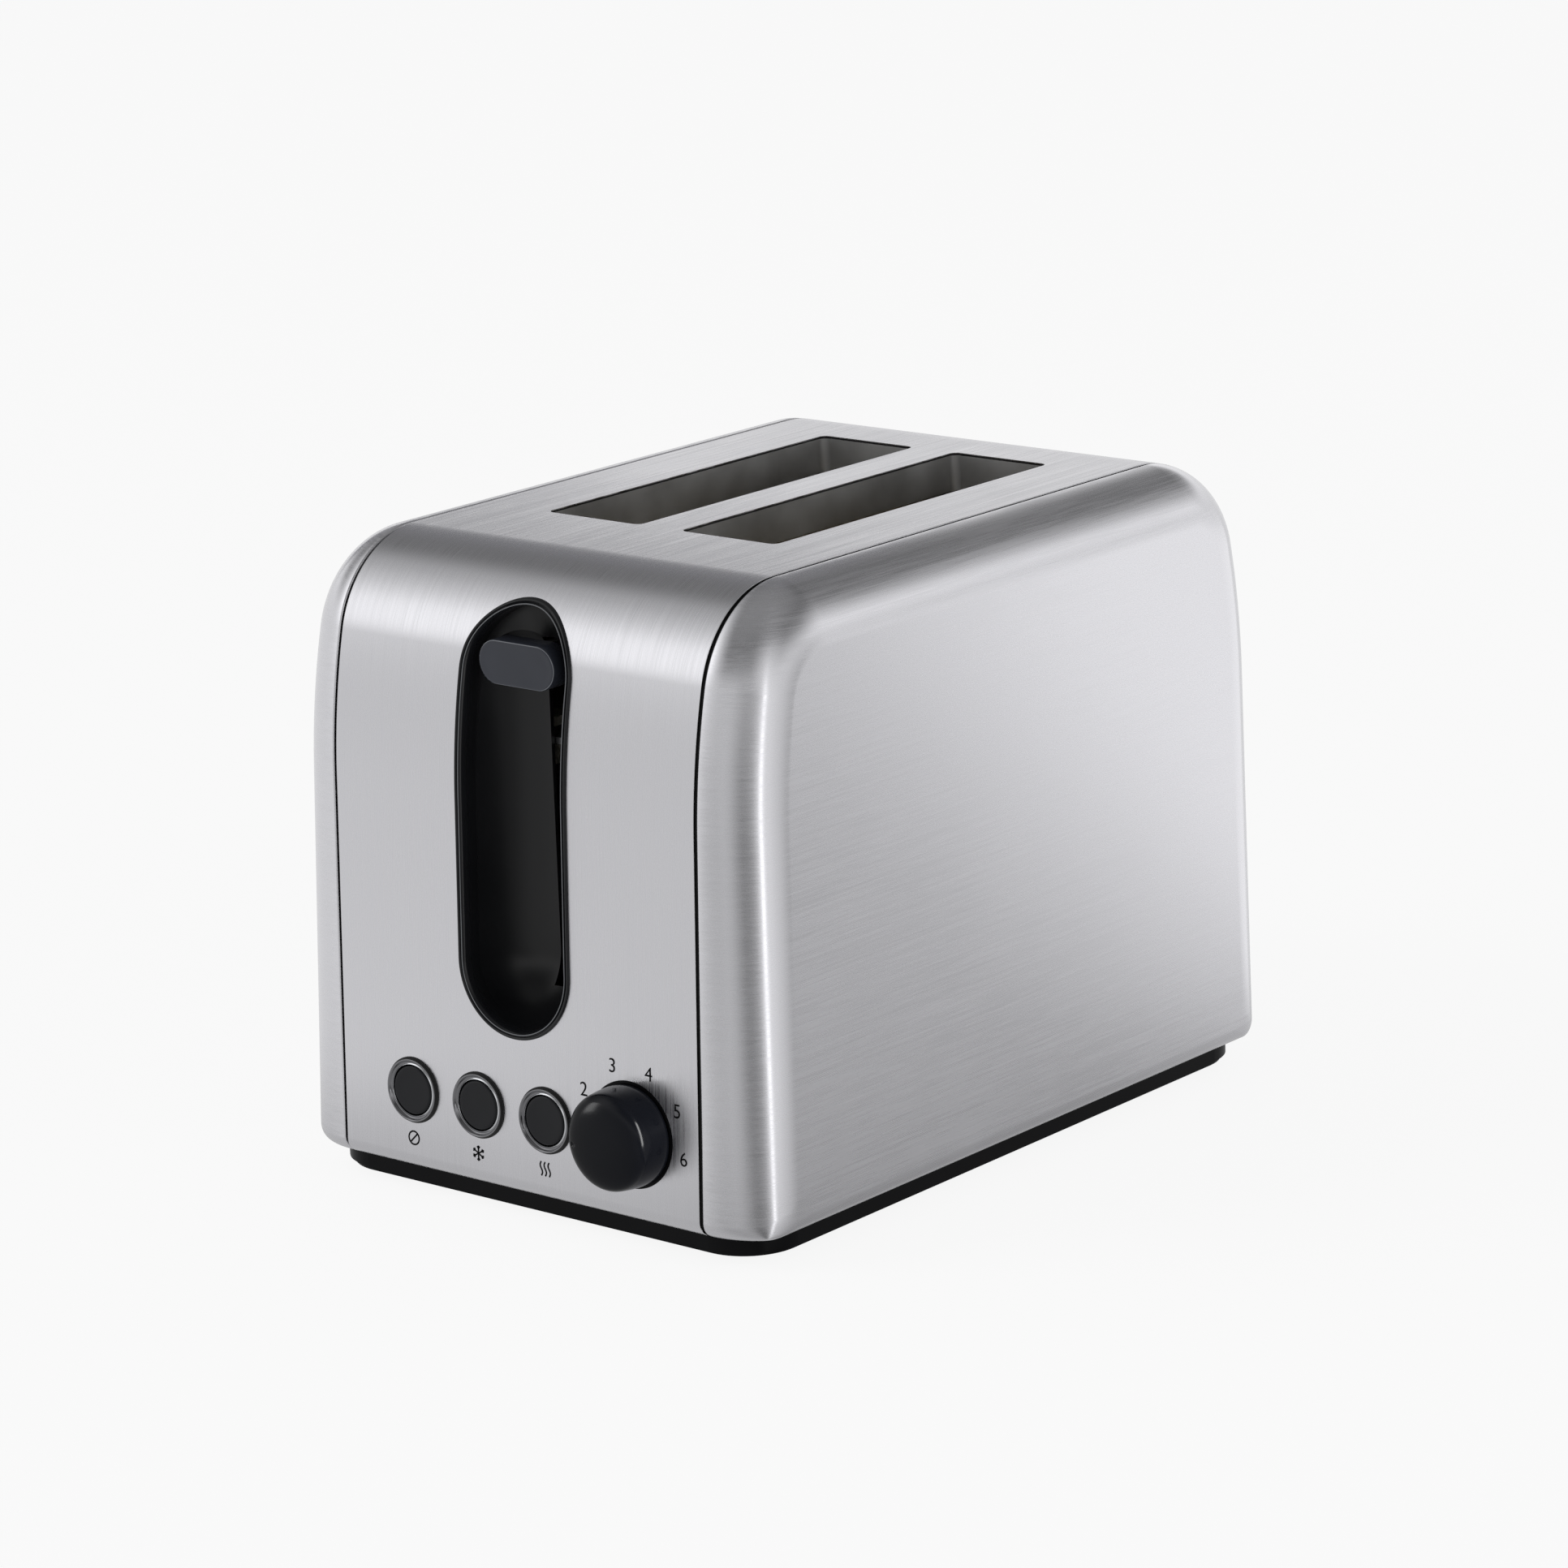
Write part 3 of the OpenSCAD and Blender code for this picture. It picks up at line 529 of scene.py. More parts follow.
CAD_FINISH = {
    # outside
    "center_band": band_steel, "rear_panel": band_steel,
    "left_cover": cover_steel, "right_cover": cover_steel,
    "base": base_black, "rubber_feet": rubber, "cord_gland": base_black,
    "crumb_tray": bright_sheet, "tray_handle": base_black, "tray_rails": zinc,
    # controls
    "lever_bezel": bezel_black, "lever_recess": recess_black, "lever_paddle": paddle_grey,
    "cancel_ring": chrome, "defrost_ring": chrome, "reheat_ring": chrome,
    "cancel_button": button_black, "defrost_button": button_black, "reheat_button": button_black,
    "dial_knob": knob_black, "dial_collar": base_black, "dial_shaft": zinc,
    "control_bracket": cream, "control_board": board_green, "button_switches": base_black,
    "dial_potentiometer": base_black, "magnet_core": iron, "magnet_coil": copper,
    "power_contacts": brass, "terminal_block": cream, "internal_leads": lead_red,
    # chassis and heaters
    "front_plate": zinc, "rear_plate": zinc, "slot_frame": zinc,
    "left_reflector": bright_sheet, "right_reflector": bright_sheet,
    "left_heater_card": mica, "center_heater_card": mica, "right_heater_card": mica,
    "left_heater_wire": ribbon, "center_heater_wires": ribbon, "right_heater_wire": ribbon,
    "cover_screws": zinc, "chassis_screws": zinc, "board_screws": zinc,
    # carriage and guards
    "guide_rod": iron, "rod_bracket": zinc, "carriage_bumper": rubber, "return_spring": dark_spring,
    "carriage_slider": base_black, "carriage_bracket": zinc, "lever_arm": zinc,
    "left_bread_rack": wire_steel, "right_bread_rack": wire_steel,
    "latch_plate": iron, "contact_pusher": cream,
    "left_outer_guard": wire_steel, "left_inner_guard": wire_steel,
    "right_inner_guard": wire_steel, "right_outer_guard": wire_steel,
}
for node_name, node_object in frame["nodes"].items():
    node_object.data.materials.clear()
    node_object.data.materials.append(CAD_FINISH[node_name])

# ---------------------------------------------------------------- centre band


def analytic_normals(obj):
    """Gives the band's outer faces the outline's exact normals, so that it shades evenly."""
    mesh = obj.data

    def apart(i, d, z):
        return (SURFACE[i][0] - d) ** 2 + (SURFACE[i][1] - z) ** 2

    def lookup(d, z):
        best = min(range(len(SURFACE)), key=lambda i: apart(i, d, z))
        options = []
        for j in (best - 1, best):
            if 0 <= j < len(SURFACE) - 1:
                p, q = SURFACE[j], SURFACE[j + 1]
                sy, sz = q[0] - p[0], q[1] - p[1]
                length2 = sy * sy + sz * sz
                t = 0 if length2 < 1e-12 else ((d - p[0]) * sy + (z - p[1]) * sz) / length2
                t = min(1, max(0, t))
                gap = (p[0] + sy * t - d) ** 2 + (p[1] + sz * t - z) ** 2
                options.append((gap, p[2] + (q[2] - p[2]) * t, p[3] + (q[3] - p[3]) * t))
        _, ny, nz = min(options)
        return Vector((0, ny, nz)).normalized()

    cache = {}
    normals = [None] * len(mesh.loops)
    for face in mesh.polygons:
        c = face.center
        guess = lookup(c.y * 1000 - FRONT_Y, c.z * 1000)
        x = abs(c.x * 1000)
        outer = face.normal.dot(guess) > 0.3 or (x > HALF_PANEL - 0.3 and abs(face.normal.x) > 0.05)
        for li in face.loop_indices:
            v = mesh.vertices[mesh.loops[li].vertex_index].co
            if not outer:
                normals[li] = face.normal.copy()
                continue
            key = mesh.loops[li].vertex_index
            if key not in cache:
                n = lookup(v.y * 1000 - FRONT_Y, v.z * 1000)
                s = min(1.0, max(0.0, (abs(v.x * 1000) - (HALF_PANEL - 0.27)) / 0.12))
                side = math.copysign(s, v.x)
                cache[key] = (n * math.sqrt(1 - s * s) + Vector((side, 0, 0))).normalized()
            normals[li] = cache[key]
    mesh.normals_split_custom_set([tuple(n) for n in normals])


def window_ring(section):
    """Rings of points round the window, from (distance outside it, depth below the panel)."""
    rings = []
    for i in range(len(stadium_points(WINDOW_R, WINDOW_LOW, WINDOW_HIGH, 48, 24))):
        ring = []
        for grow, e in section:
            x, z = stadium_points(WINDOW_R + grow, WINDOW_LOW - grow, WINDOW_HIGH + grow, 48, 24)[i]
            ring.append((x, panel_at(z, e), z))
        rings.append(ring)
    return rings


def make_band():
    path = outline(fine=12)
    section = [(0.85, 0.32), (0.85, 0.12), (0.815, 0.035), (0.73, 0.0)]
    front_flange = (FOOT_FLANGE, FOOT_Z, 0.0, -1.0)
    rear_flange = (LENGTH - FOOT_FLANGE, FOOT_Z, 0.0, -1.0)
    path = [front_flange] + path + [rear_flange]
    rings = []
    for d, z, ny, nz in path:
        left = [(-(HALF_PANEL - 1 + k), d - e * ny, z - e * nz) for k, e in section]
        rings.append(left + [(-x, y, h) for x, y, h in reversed(left)])
    wrap = sweep("steel_band", rings, band_steel, closed_path=False)
    wrap.data.materials.append(edge_highlight_steel)
    rear = wrap.copy()
    rear.data = wrap.data.copy()
    rear.name = rear.data.name = "steel_rear_panel"
    scene.collection.objects.link(rear)

    def cutter(points, lo, hi, axis="y"):
        verts, faces = prism(points, lo, hi, axis)
        return new_object("cutter", verts, faces)

    def block(lo, hi):
        return cutter([(lo[0], lo[2]), (hi[0], lo[2]), (hi[0], hi[2]), (lo[0], hi[2])], lo[1], hi[1])

    grow = RIM - 0.75
    window = stadium_points(WINDOW_R + grow, WINDOW_LOW - grow, WINDOW_HIGH + grow, 48)
    rear_cut = block((-80, LENGTH - 40, 0), (80, LENGTH + 5, REAR_SEAM + SEAM_GAP))
    cutters = [cutter(window, -10, 60), rear_cut]
    for s in (1, -1):
        near, far = sorted((s * SLOT_IN, s * SLOT_OUT))
        slot = rounded_rect(near, far, SLOT_FRONT, SLOT_REAR, SLOT_CORNER)
        cutters.append(cutter(slot, HEIGHT - 5, HEIGHT + 5, "z"))
    for x, z, r in [(bx, BUTTON_Z, BUTTON_HOLE) for bx in BUTTONS] + [(*DIAL, KNOB_R + 1.1)]:
        cutters.append(lathe("cutter", [(r, -6), (r, 6)], x, z, None))
    cut(wrap, cutters)
    cut(rear, [
        block((-80, -10, 0), (80, LENGTH - 40, HEIGHT + 5)),
        block((-80, LENGTH - 60, REAR_SEAM), (80, LENGTH + 5, HEIGHT + 5)),
        cutter(rounded_rect(-TRAY_HALF, TRAY_HALF, -5, TRAY_TOP, 1.0), LENGTH - 20, LENGTH + 5),
        cutter([(GLAND[0] + x, GLAND[1] + z) for x, z in disc_points(GLAND_R)], LENGTH - 5, LENGTH + 5),
    ])
    for sheet, node in ((wrap, "center_band"), (rear, "rear_panel")):
        analytic_normals(sheet)
        # the band's side walls take the lighter edge steel, a painted highlight along the seam
        for face in sheet.data.polygons:
            c = face.center * 1000
            if abs(c.x) > HALF_PANEL - 0.25 and abs(face.normal.x) > 0.5:
                face.material_index = 1
        stand_in(sheet, "chassis", "brushed_steel", node)


make_band()

# ---------------------------------------------------------------- side covers


def roll_rise(s):
    r = ROLL + 1
    return r - math.sqrt(r * r - (r - s) ** 2) if s < r else 0.0


def cover_ring(phi, t, fine=5):
    bulge = COVER_BULGE - t
    e = t + (EDGE_ROUND - t) * (1 - math.cos(phi))
    eb = t + roll_rise(bulge * (1 - math.sin(phi)))
    return [
        (COVER_X + (bulge - COVER_TAPER * (z - FOOT_Z)) * math.sin(phi), d, z)
        for d, z, _, _ in outline(e, eb, ROLL - t, fine)
    ]


def make_cover(side, node):
    """A drawn shell: its turned-in edge, its rounded outside, and its inside one sheet further in."""
    outer = []
    for x, e in ((0.2, 0.75), (0.26, 0.4), (0.42, 0.14), (0.75, 0.03)):
        edge = outline(e, roll_rise(COVER_BULGE - x) + e, ROLL - e, 5)
        outer.append([(COVER_X + x, d, z) for d, z, _, _ in edge])
    steps = 30
    outer += [cover_ring(math.radians(90 * (i / steps)), 0) for i in range(2, steps + 1)]
    inner = [cover_ring(math.radians(90 * i / 6), COVER_SHEET) for i in range(7)]
    rings = [[(side * x, d, z) for x, d, z in ring] for ring in list(reversed(inner)) + outer]
    cover = sweep(node.replace("_", "_steel_"), rings, cover_steel, closed_path=False, smooth=40)
    w = cover.modifiers.new("weighted", "WEIGHTED_NORMAL")
    w.keep_sharp = True
    w.weight = 100
    apply_modifiers(cover)
    return stand_in(cover, "chassis", "brushed_steel", node)


make_cover(1, "right_cover")
make_cover(-1, "left_cover")


def make_seam(side):
    """A dark strip in the gap between band and cover, a painted shadow that keeps the gap black."""
    near, far = HALF_PANEL - 1.4, COVER_X + 0.1
    section = ((near, 0.9), (near, 1.5), (far, 1.5), (far, 0.9))
    rings = [[(side * x, d - e * ny, z - e * nz) for x, e in section] for d, z, ny, nz in outline(fine=8)]
    seam = sweep("seam_shadow_strip_" + ("right" if side > 0 else "left"), rings, gap_shadow_black, closed_path=False)
    return stand_in(seam, "chassis", "black_plastic")


make_seam(1)
make_seam(-1)

# ---------------------------------------------------------------- lever window


def make_bezel():
    section = [
        (RIM, 0.2), (RIM - 0.04, -0.3), (RIM - 0.16, -0.6), (RIM - 0.42, -0.74), (RIM - 0.7, -0.72),
        (RIM - 0.9, -0.55), (RIM - 1.05, -0.25), (1.12, -0.22), (1.02, -0.55), (0.94, -0.66), (0.66, -0.66),
        (0.5, -0.4), (0.25, -0.1), (0.0, 0.6), (0.0, 2.4), (1.5, 2.4), (1.5, 0.2),
    ]
    bezel = sweep("window_bezel", window_ring(section), bezel_black, smooth=50)
    bezel.data.materials.append(bezel_painted_highlight)
    # two rows of the bezel's section take the lighter grey, a painted highlight line round the window
    painted_highlight_rows = {9, 10}
    for face in bezel.data.polygons:
        if {v % len(section) for v in face.vertices} == painted_highlight_rows:
            face.material_index = 1
    return stand_in(bezel, "chassis", "gloss_black", "lever_bezel")


def make_recess():
    """The moulding behind the window: straight at its mouth, round at its back."""
    axis_d, mouth_in, shelf_in, wall = 7.25, 2.4, 6.0, 0.0016
    path = stadium_points(WINDOW_R, WINDOW_LOW, WINDOW_HIGH, 32, 24)
    top, bottom = WINDOW_HIGH - WINDOW_R, WINDOW_LOW + WINDOW_R
    rings = []
    for x, z in path:
        cz = min(max(z, bottom), top)
        dx, dz = x / WINDOW_R, (z - cz) / WINDOW_R
        mouth = panel_at(z, mouth_in)
        shelf = panel_at(z, shelf_in)
        ring = []
        for i in range(6):
            ring.append((x, mouth + (shelf - mouth) * i / 5, z))
        start = math.asin(min(0.98, max(0.0, (shelf - axis_d) / WINDOW_R)))
        for i in range(24):
            psi = start + (math.pi / 2 - start) * i / 23
            r = WINDOW_R * math.cos(psi)
            ring.append((dx * r, axis_d + WINDOW_R * math.sin(psi), cz + dz * r))
        rings.append(ring)
    recess = sweep("window_recess", rings, recess_black, closed_section=False, smooth=35)
    bm = bmesh.new()
    bm.from_mesh(recess.data)
    slit_half, slit_low, slit_high = 0.003, (WINDOW_LOW + 8) / 1000, (PADDLE_Z + 5) / 1000
    for place, normal in (((-slit_half, 0, 0), (1, 0, 0)), ((slit_half, 0, 0), (1, 0, 0)),
                          ((0, 0, slit_low), (0, 0, 1)), ((0, 0, slit_high), (0, 0, 1))):
        everything = bm.verts[:] + bm.edges[:] + bm.faces[:]
        bmesh.ops.bisect_plane(bm, geom=everything, dist=1e-7, plane_co=place, plane_no=normal)
    slit = []
    for f in bm.faces:
        c = f.calc_center_median()
        at_back = c.y > to_row((0, axis_d + 8, 0)).y
        if at_back and abs(c.x) < slit_half and slit_low < c.z < slit_high:
            slit.append(f)
    bmesh.ops.delete(bm, geom=slit, context="FACES")
    if sum(f.normal.y * f.calc_area() for f in bm.faces) > 0:
        bmesh.ops.reverse_faces(bm, faces=bm.faces)
    bm.to_mesh(recess.data)
    bm.free()
    m = recess.modifiers.new("wall", "SOLIDIFY")
    m.thickness = wall
    m.offset = -1
    apply_modifiers(recess)
    tidy_mesh(recess, 35)
    return stand_in(recess, "chassis", "gloss_black", "lever_recess")


def make_paddle():
    front, depth = 9.0, 7.5
    half_w, r = 14.25, 6.5

    def ring(grow, back):
        rr = r + grow
        pts = []
        for cx, start in ((half_w - r, math.pi / 2), (r - half_w, -math.pi / 2)):
            for i in range(25):
                a = start - math.pi * i / 24
                pts.append((cx + rr * math.cos(a), front + back, PADDLE_Z + rr * math.sin(a)))
        return pts

    rings = [ring(*row) for row in (
        (-3.0, 0.12), (-1.4, 0.08), (-0.75, 0.0), (-0.5, 0.02), (-0.3, 0.1), (-0.12, 0.26), (0.0, 0.55),
        (0.0, depth - 0.5), (-0.5, depth),
    )]
    paddle = sweep("lever_paddle_cap", rings, paddle_grey, closed_path=False, smooth=50)
    paddle.data.materials.append(paddle_painted_highlight)
    # two rings of the paddle's edge take the lighter grey, a painted highlight line
    count = len(rings[0])
    painted_highlight_rings = {4, 5}
    for face in paddle.data.polygons:
        if {v // count for v in face.vertices} == painted_highlight_rings:
            face.material_index = 1
    return stand_in(paddle, "carriage", "paddle_plastic", "lever_paddle")


make_bezel()
make_recess()
make_paddle()

# ---------------------------------------------------------------- buttons and dial


def turned(r, degrees):
    """The offset, along and up the panel, of a point on a circle."""
    a = math.radians(degrees)
    return r * math.cos(a), r * math.sin(a)


# Profiles are pairs of radius and distance out of the panel
RING_PROFILE = [
    (9.9, 0.02), (9.88, 0.3), (9.78, 0.42), (9.62, 0.44), (9.6, 0.7), (9.5, 1.0), (9.3, 1.2), (9.05, 1.24),
    (8.85, 1.1), (8.7, 0.8), (8.5, 0.45), (8.25, 0.3), (8.0, 0.34), (7.85, 0.5), (7.72, 0.55), (7.62, 0.4),
    (7.6, 0.0), (7.6, -3.0), (8.9, -3.0), (8.9, 0.02),
]
RING_SHADOW_R = 0.0094
RING_PAINTED_REFLECTION_R = 0.00805
CAP_PROFILE = [
    (0.0, 0.55), (3.0, 0.56), (5.2, 0.6), (6.4, 0.66), (6.75, 0.65), (7.05, 0.52), (7.25, 0.25), (7.3, 0.0),
    (7.3, -4.0), (2.5, -4.0), (2.5, -13.8), (0.0, -13.8),
]


def make_button(label, bx):
    """A button's cap and its ring: black at the outer foot, a painted shadow in the gap, then darker
    chrome, a painted dark reflection, and bright inside.
    """
    ring = lathe(label + "_bright_ring", RING_PROFILE, bx, BUTTON_Z, ring_chrome, closed=True, smooth=50)
    ring.data.materials.append(gap_shadow_black)
    ring.data.materials.append(ring_painted_reflection)
    middle = to_row(panel_point(bx, BUTTON_Z))
    for face in ring.data.polygons:
        away = (face.center - middle).length
        # the outer foot of the ring takes the near-black, a painted shadow in the gap against the panel
        if away > RING_SHADOW_R:
            face.material_index = 1
        # the middle band takes the darker chrome, a painted dark reflection
        elif away > RING_PAINTED_REFLECTION_R:
            face.material_index = 2
    stand_in(ring, "chassis", "chrome", label + "_ring")
    cap = lathe(label + "_cap", CAP_PROFILE, bx, BUTTON_Z, button_black, smooth=40)
    stand_in(cap, label + "_button", "button_black", label + "_button")


for button_name, button_x in zip(("cancel", "defrost", "reheat"), BUTTONS):
    make_button(button_name, button_x)


def make_knob():
    dome = [
        (0.0, 0.0), (2.0, 0.02), (4.0, 0.09), (5.6, 0.19), (7.0, 0.32), (8.0, 0.44), (9.0, 0.58),
        (9.8, 0.72), (10.5, 0.87), (11.1, 1.03), (11.7, 1.22), (12.2, 1.43), (12.7, 1.69), (13.05, 1.92),
        (13.4, 2.22), (13.65, 2.52), (13.9, 2.92), (14.08, 3.32), (14.22, 3.8), (14.38, 4.7),
    ]
    skirt = [(14.55, 7.2), (14.7, 6.0), (14.85, 3.0), (14.9, 1.0), (14.75, 0.6)]
    inside = [(12.6, 0.6), (12.6, 9.6), (4.6, 9.6), (4.6, 0.6), (3.1, 0.6), (3.1, 9.3), (0.0, 9.3)]
    profile = [(r, KNOB_OUT - back) for r, back in dome] + skirt + inside
    knob = lathe("browning_knob", profile, *DIAL, knob_black, n=128, smooth=40)
    mark_r, mark_size = 11.6, 0.0016
    face_middle = panel_point(*DIAL, KNOB_OUT + 0.1)
    centre = along_panel(face_middle, *turned(mark_r, NUMBER_ANGLES[0]))
    bm = bmesh.new()
    bmesh.ops.create_uvsphere(bm, u_segments=32, v_segments=20, radius=mark_size)
    bmesh.ops.translate(bm, verts=bm.verts, vec=to_row(centre))
    mesh = bpy.data.meshes.new("cutter")
    bm.to_mesh(mesh)
    bm.free()
    ball = bpy.data.objects.new("cutter", mesh)
    scene.collection.objects.link(ball)
    cut(knob, [ball], 40)
    return stand_in(knob, "dial", "knob_black", "dial_knob")


make_knob()

# ---------------------------------------------------------------- printed marks

INK_LIFT = 0.06


def flat_mark(name, strips, x, z):
    """Ink on the panel: each strip is a list of points in the panel's plane and a width."""
    verts, faces = [], []
    middle = panel_point(x, z, INK_LIFT)
    for pts, width in strips:
        closed = pts[0] == pts[-1]
        core = pts[:-1] if closed else pts
        n = len(core)
        start = len(verts)
        for i, (px, pz) in enumerate(core):
            before = core[i - 1] if closed or i > 0 else core[i]
            after = core[(i + 1) % n] if closed or i < n - 1 else core[i]
            tx, tz = after[0] - before[0], after[1] - before[1]
            length = math.hypot(tx, tz) or 1
            nx, nz = -tz / length * width / 2, tx / length * width / 2
            verts.append(along_panel(middle, px + nx, pz + nz))
            verts.append(along_panel(middle, px - nx, pz - nz))
        for i in range(n if closed else n - 1):
            a, b = start + 2 * i, start + 2 * ((i + 1) % n)
            faces.append([a, a + 1, b + 1, b])
    mark = new_object(name, verts, faces, ink_black)
    m = mark.modifiers.new("film", "SOLIDIFY")
    m.thickness = 0.00005
    apply_modifiers(mark)
    return stand_in(mark, "chassis", "black_plastic")


def circle_line(r):
    return disc_points(r, 40) + [(r, 0.0)]


def icon_cancel():
    q = 2.0 * math.sqrt(0.5)
    return [(circle_line(2.0), 0.5), ([(-q, -q), (q, q)], 0.5)]


def icon_defrost():
    strips = []
    for k in range(3):
        a = math.radians(90 + 60 * k)
        c, s = math.cos(a), math.sin(a)
        strips.append(([(-2.3 * c, -2.3 * s), (2.3 * c, 2.3 * s)], 0.45))
        for end in (1, -1):
            root = (1.35 * c * end, 1.35 * s * end)
            for t in (35, -35):
                b = a + math.radians(t) + (0 if end == 1 else math.pi)
                tip = (root[0] + 0.85 * math.cos(b), root[1] + 0.85 * math.sin(b))
                strips.append(([root, tip], 0.38))
    return strips


def icon_reheat():
    strips = []
    for k in (-1.5, 0.0, 1.5):
        wave = [(k + 0.42 * math.sin(2 * math.pi * t / 16), -2.1 + 4.2 * t / 16) for t in range(17)]
        strips.append((wave, 0.5))
    return strips


flat_mark("cancel_icon", icon_cancel(), ICONS[0], ICON_Z)
flat_mark("defrost_icon", icon_defrost(), ICONS[1], ICON_Z)
flat_mark("reheat_icon", icon_reheat(), ICONS[2], ICON_Z)


def make_number(text, angle):
    """A number of the dial, made by Blender's own font and laid on the panel."""
    curve = bpy.data.curves.new("number_" + text, "FONT")
    curve.body = text
    curve.size = 0.006
    curve.align_x = "CENTER"
    curve.align_y = "CENTER"
    curve.extrude = 0.00003
    curve.offset = -0.00003
    obj = bpy.data.objects.new("number_" + text, curve)
    scene.collection.objects.link(obj)
    where = along_panel(panel_point(*DIAL, INK_LIFT), *turned(NUMBER_R, angle))
    turn = Matrix.Rotation(math.pi / 2 - LEAN, 4, "X")
    obj.matrix_world = Matrix.Translation(to_row(where)) @ turn
    bpy.context.view_layer.update()
    graph = bpy.context.evaluated_depsgraph_get()
    mesh = bpy.data.meshes.new_from_object(obj.evaluated_get(graph))
    mesh.transform(obj.matrix_world)
    bpy.data.objects.remove(obj)
    bpy.data.curves.remove(curve)
    mark = bpy.data.objects.new("dial_number_" + text, mesh)
    scene.collection.objects.link(mark)
    mesh.materials.clear()
    mesh.materials.append(ink_black)
    return stand_in(mark, "chassis", "black_plastic")


for index, angle in enumerate(NUMBER_ANGLES):
    make_number(str(index + 1), angle)

# ---------------------------------------------------------------- carried-over nodes and the spring

for node_object in frame["nodes"].values():
    if not node_object.hide_render:
        node_object.data.shade_smooth()
        node_object.data.set_sharp_from_angle(angle=math.radians(28))


def make_spring():
    """The return spring, which stretches between the top bracket and the carriage."""
    turns, per_turn, sides = 9, 28, 10
    coil, wire, x0, d0, z0, z1 = 3.2, 0.4, 14.0, 46.0, 160.45, 179.55
    steps = turns * per_turn
    rings = []
    for i in range(steps + 1):
        a = 2 * math.pi * i / per_turn
        c = Vector((x0 + coil * math.cos(a), d0 + coil * math.sin(a), z0 + (z1 - z0) * i / steps))
        out = Vector((math.cos(a), math.sin(a), 0))
        up = Vector((0, 0, 1))
        rings.append([tuple(c + (out * math.cos(b) + up * math.sin(b)) * wire)
                      for b in (2 * math.pi * j / sides for j in range(sides))])
    spring = sweep("lever_spring", rings, dark_spring, closed_path=False, smooth=60)
    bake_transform(spring)
    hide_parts("return_spring")


make_spring()

# ---------------------------------------------------------------- stage

# Brightness near the horizon by direction, in degrees from the control side, 90 to the right
HORIZON = [
    (-180, 0.8), (-140, 0.85), (-100, 0.82), (-60, 0.82), (-42, 0.78), (-30, 0.69), (-18, 0.6), (-5, 0.58),
    (10, 0.62), (20, 0.56), (30, 0.4), (40, 0.26), (50, 0.28), (60, 0.4), (69.5, 0.8), (72.5, 1.0),
    (74, 2.5), (76.5, 2.5), (78, 1.2), (82, 0.95), (90, 0.95), (100, 0.84), (112, 0.74), (122, 0.62),
    (132, 0.56), (145, 0.6), (160, 0.8), (180, 0.8),
]


class Shade:
    """A short way to write the stage's brightness as node arithmetic."""

    def __init__(self, tree):
        self.tree = tree

    def value(self, socket, v):
        if isinstance(v, (int, float)):
            socket.default_value = v
        else:
            self.tree.links.new(v, socket)

    def do(self, op, a, b=0.0):
        n = self.tree.nodes.new("ShaderNodeMath")
        n.operation = op
        self.value(n.inputs[0], a)
        self.value(n.inputs[1], b)
        return n.outputs[0]

    def step(self, v, lo, hi, out_lo=0.0, out_hi=1.0):
        n = self.tree.nodes.new("ShaderNodeMapRange")
        n.interpolation_type = "SMOOTHSTEP"
        self.value(n.inputs[0], v)
        for i, x in enumerate((lo, hi, out_lo, out_hi)):
            n.inputs[i + 1].default_value = x
        return n.outputs[0]

    def curve(self, v, stops, lo, hi):
        """Straight lines between (position, value) pairs, with room for values up to 6."""
        n = self.tree.nodes.new("ShaderNodeValToRGB")
        el = n.color_ramp.elements
        rows = [((p - lo) / (hi - lo), x / 6) for p, x in stops]
        el[0].position, el[0].color = rows[0][0], (*[rows[0][1]] * 3, 1)
        el[1].position, el[1].color = rows[-1][0], (*[rows[-1][1]] * 3, 1)
        for p, x in rows[1:-1]:
            el.new(p).color = (*[x] * 3, 1)
        self.value(n.inputs[0], self.do("DIVIDE", self.do("SUBTRACT", v, lo), hi - lo))
        return self.do("MULTIPLY", n.outputs[0], 6.0)

    def blend(self, share, a, b):
        rest = self.do("SUBTRACT", 1.0, share)
        return self.do("ADD", self.do("MULTIPLY", rest, a), self.do("MULTIPLY", share, b))

    def degrees(self, x, y):
        """0 ahead of the control side, 90 to the right."""
        return self.do("MULTIPLY", self.do("ARCTAN2", x, self.do("MULTIPLY", y, -1.0)), 180 / math.pi)

    def around(self, coords, azimuth, elevation, stops):
        """Brightness by the angle away from a direction."""
        a, e = math.radians(azimuth), math.radians(elevation)
        d = Vector((math.sin(a) * math.cos(e), -math.cos(a) * math.cos(e), math.sin(e)))
        terms = [self.do("MULTIPLY", c, v) for c, v in zip(coords, d)]
        dot = self.do("ADD", self.do("ADD", terms[0], terms[1]), terms[2])
        angle = self.do("MULTIPLY", self.do("ARCCOSINE", dot), 180 / math.pi)
        return self.curve(angle, stops, 0, 180)


def staged_quad(name, corners, material):
    mesh = bpy.data.meshes.new(name)
    mesh.from_pydata(corners, [], [(0, 1, 2, 3)])
    mesh.materials.append(material)
    obj = bpy.data.objects.new(name, mesh)
    scene.collection.objects.link(obj)
    return obj


def plane(name, size, z, material):
    corners = [(-size, -size, z), (size, -size, z), (size, size, z), (-size, size, z)]
    return staged_quad(name, corners, material)


def only_reflected(obj):
    """Leaves an object to glossy rays alone."""
    obj.visible_camera = False
    obj.visible_diffuse = False
    obj.visible_transmission = False
    obj.visible_shadow = False


def stage_material(name):
    m = bpy.data.materials.new(name)
    m.use_nodes = True
    m.node_tree.nodes.clear()
    return m, m.node_tree, m.node_tree.nodes.new("ShaderNodeOutputMaterial")


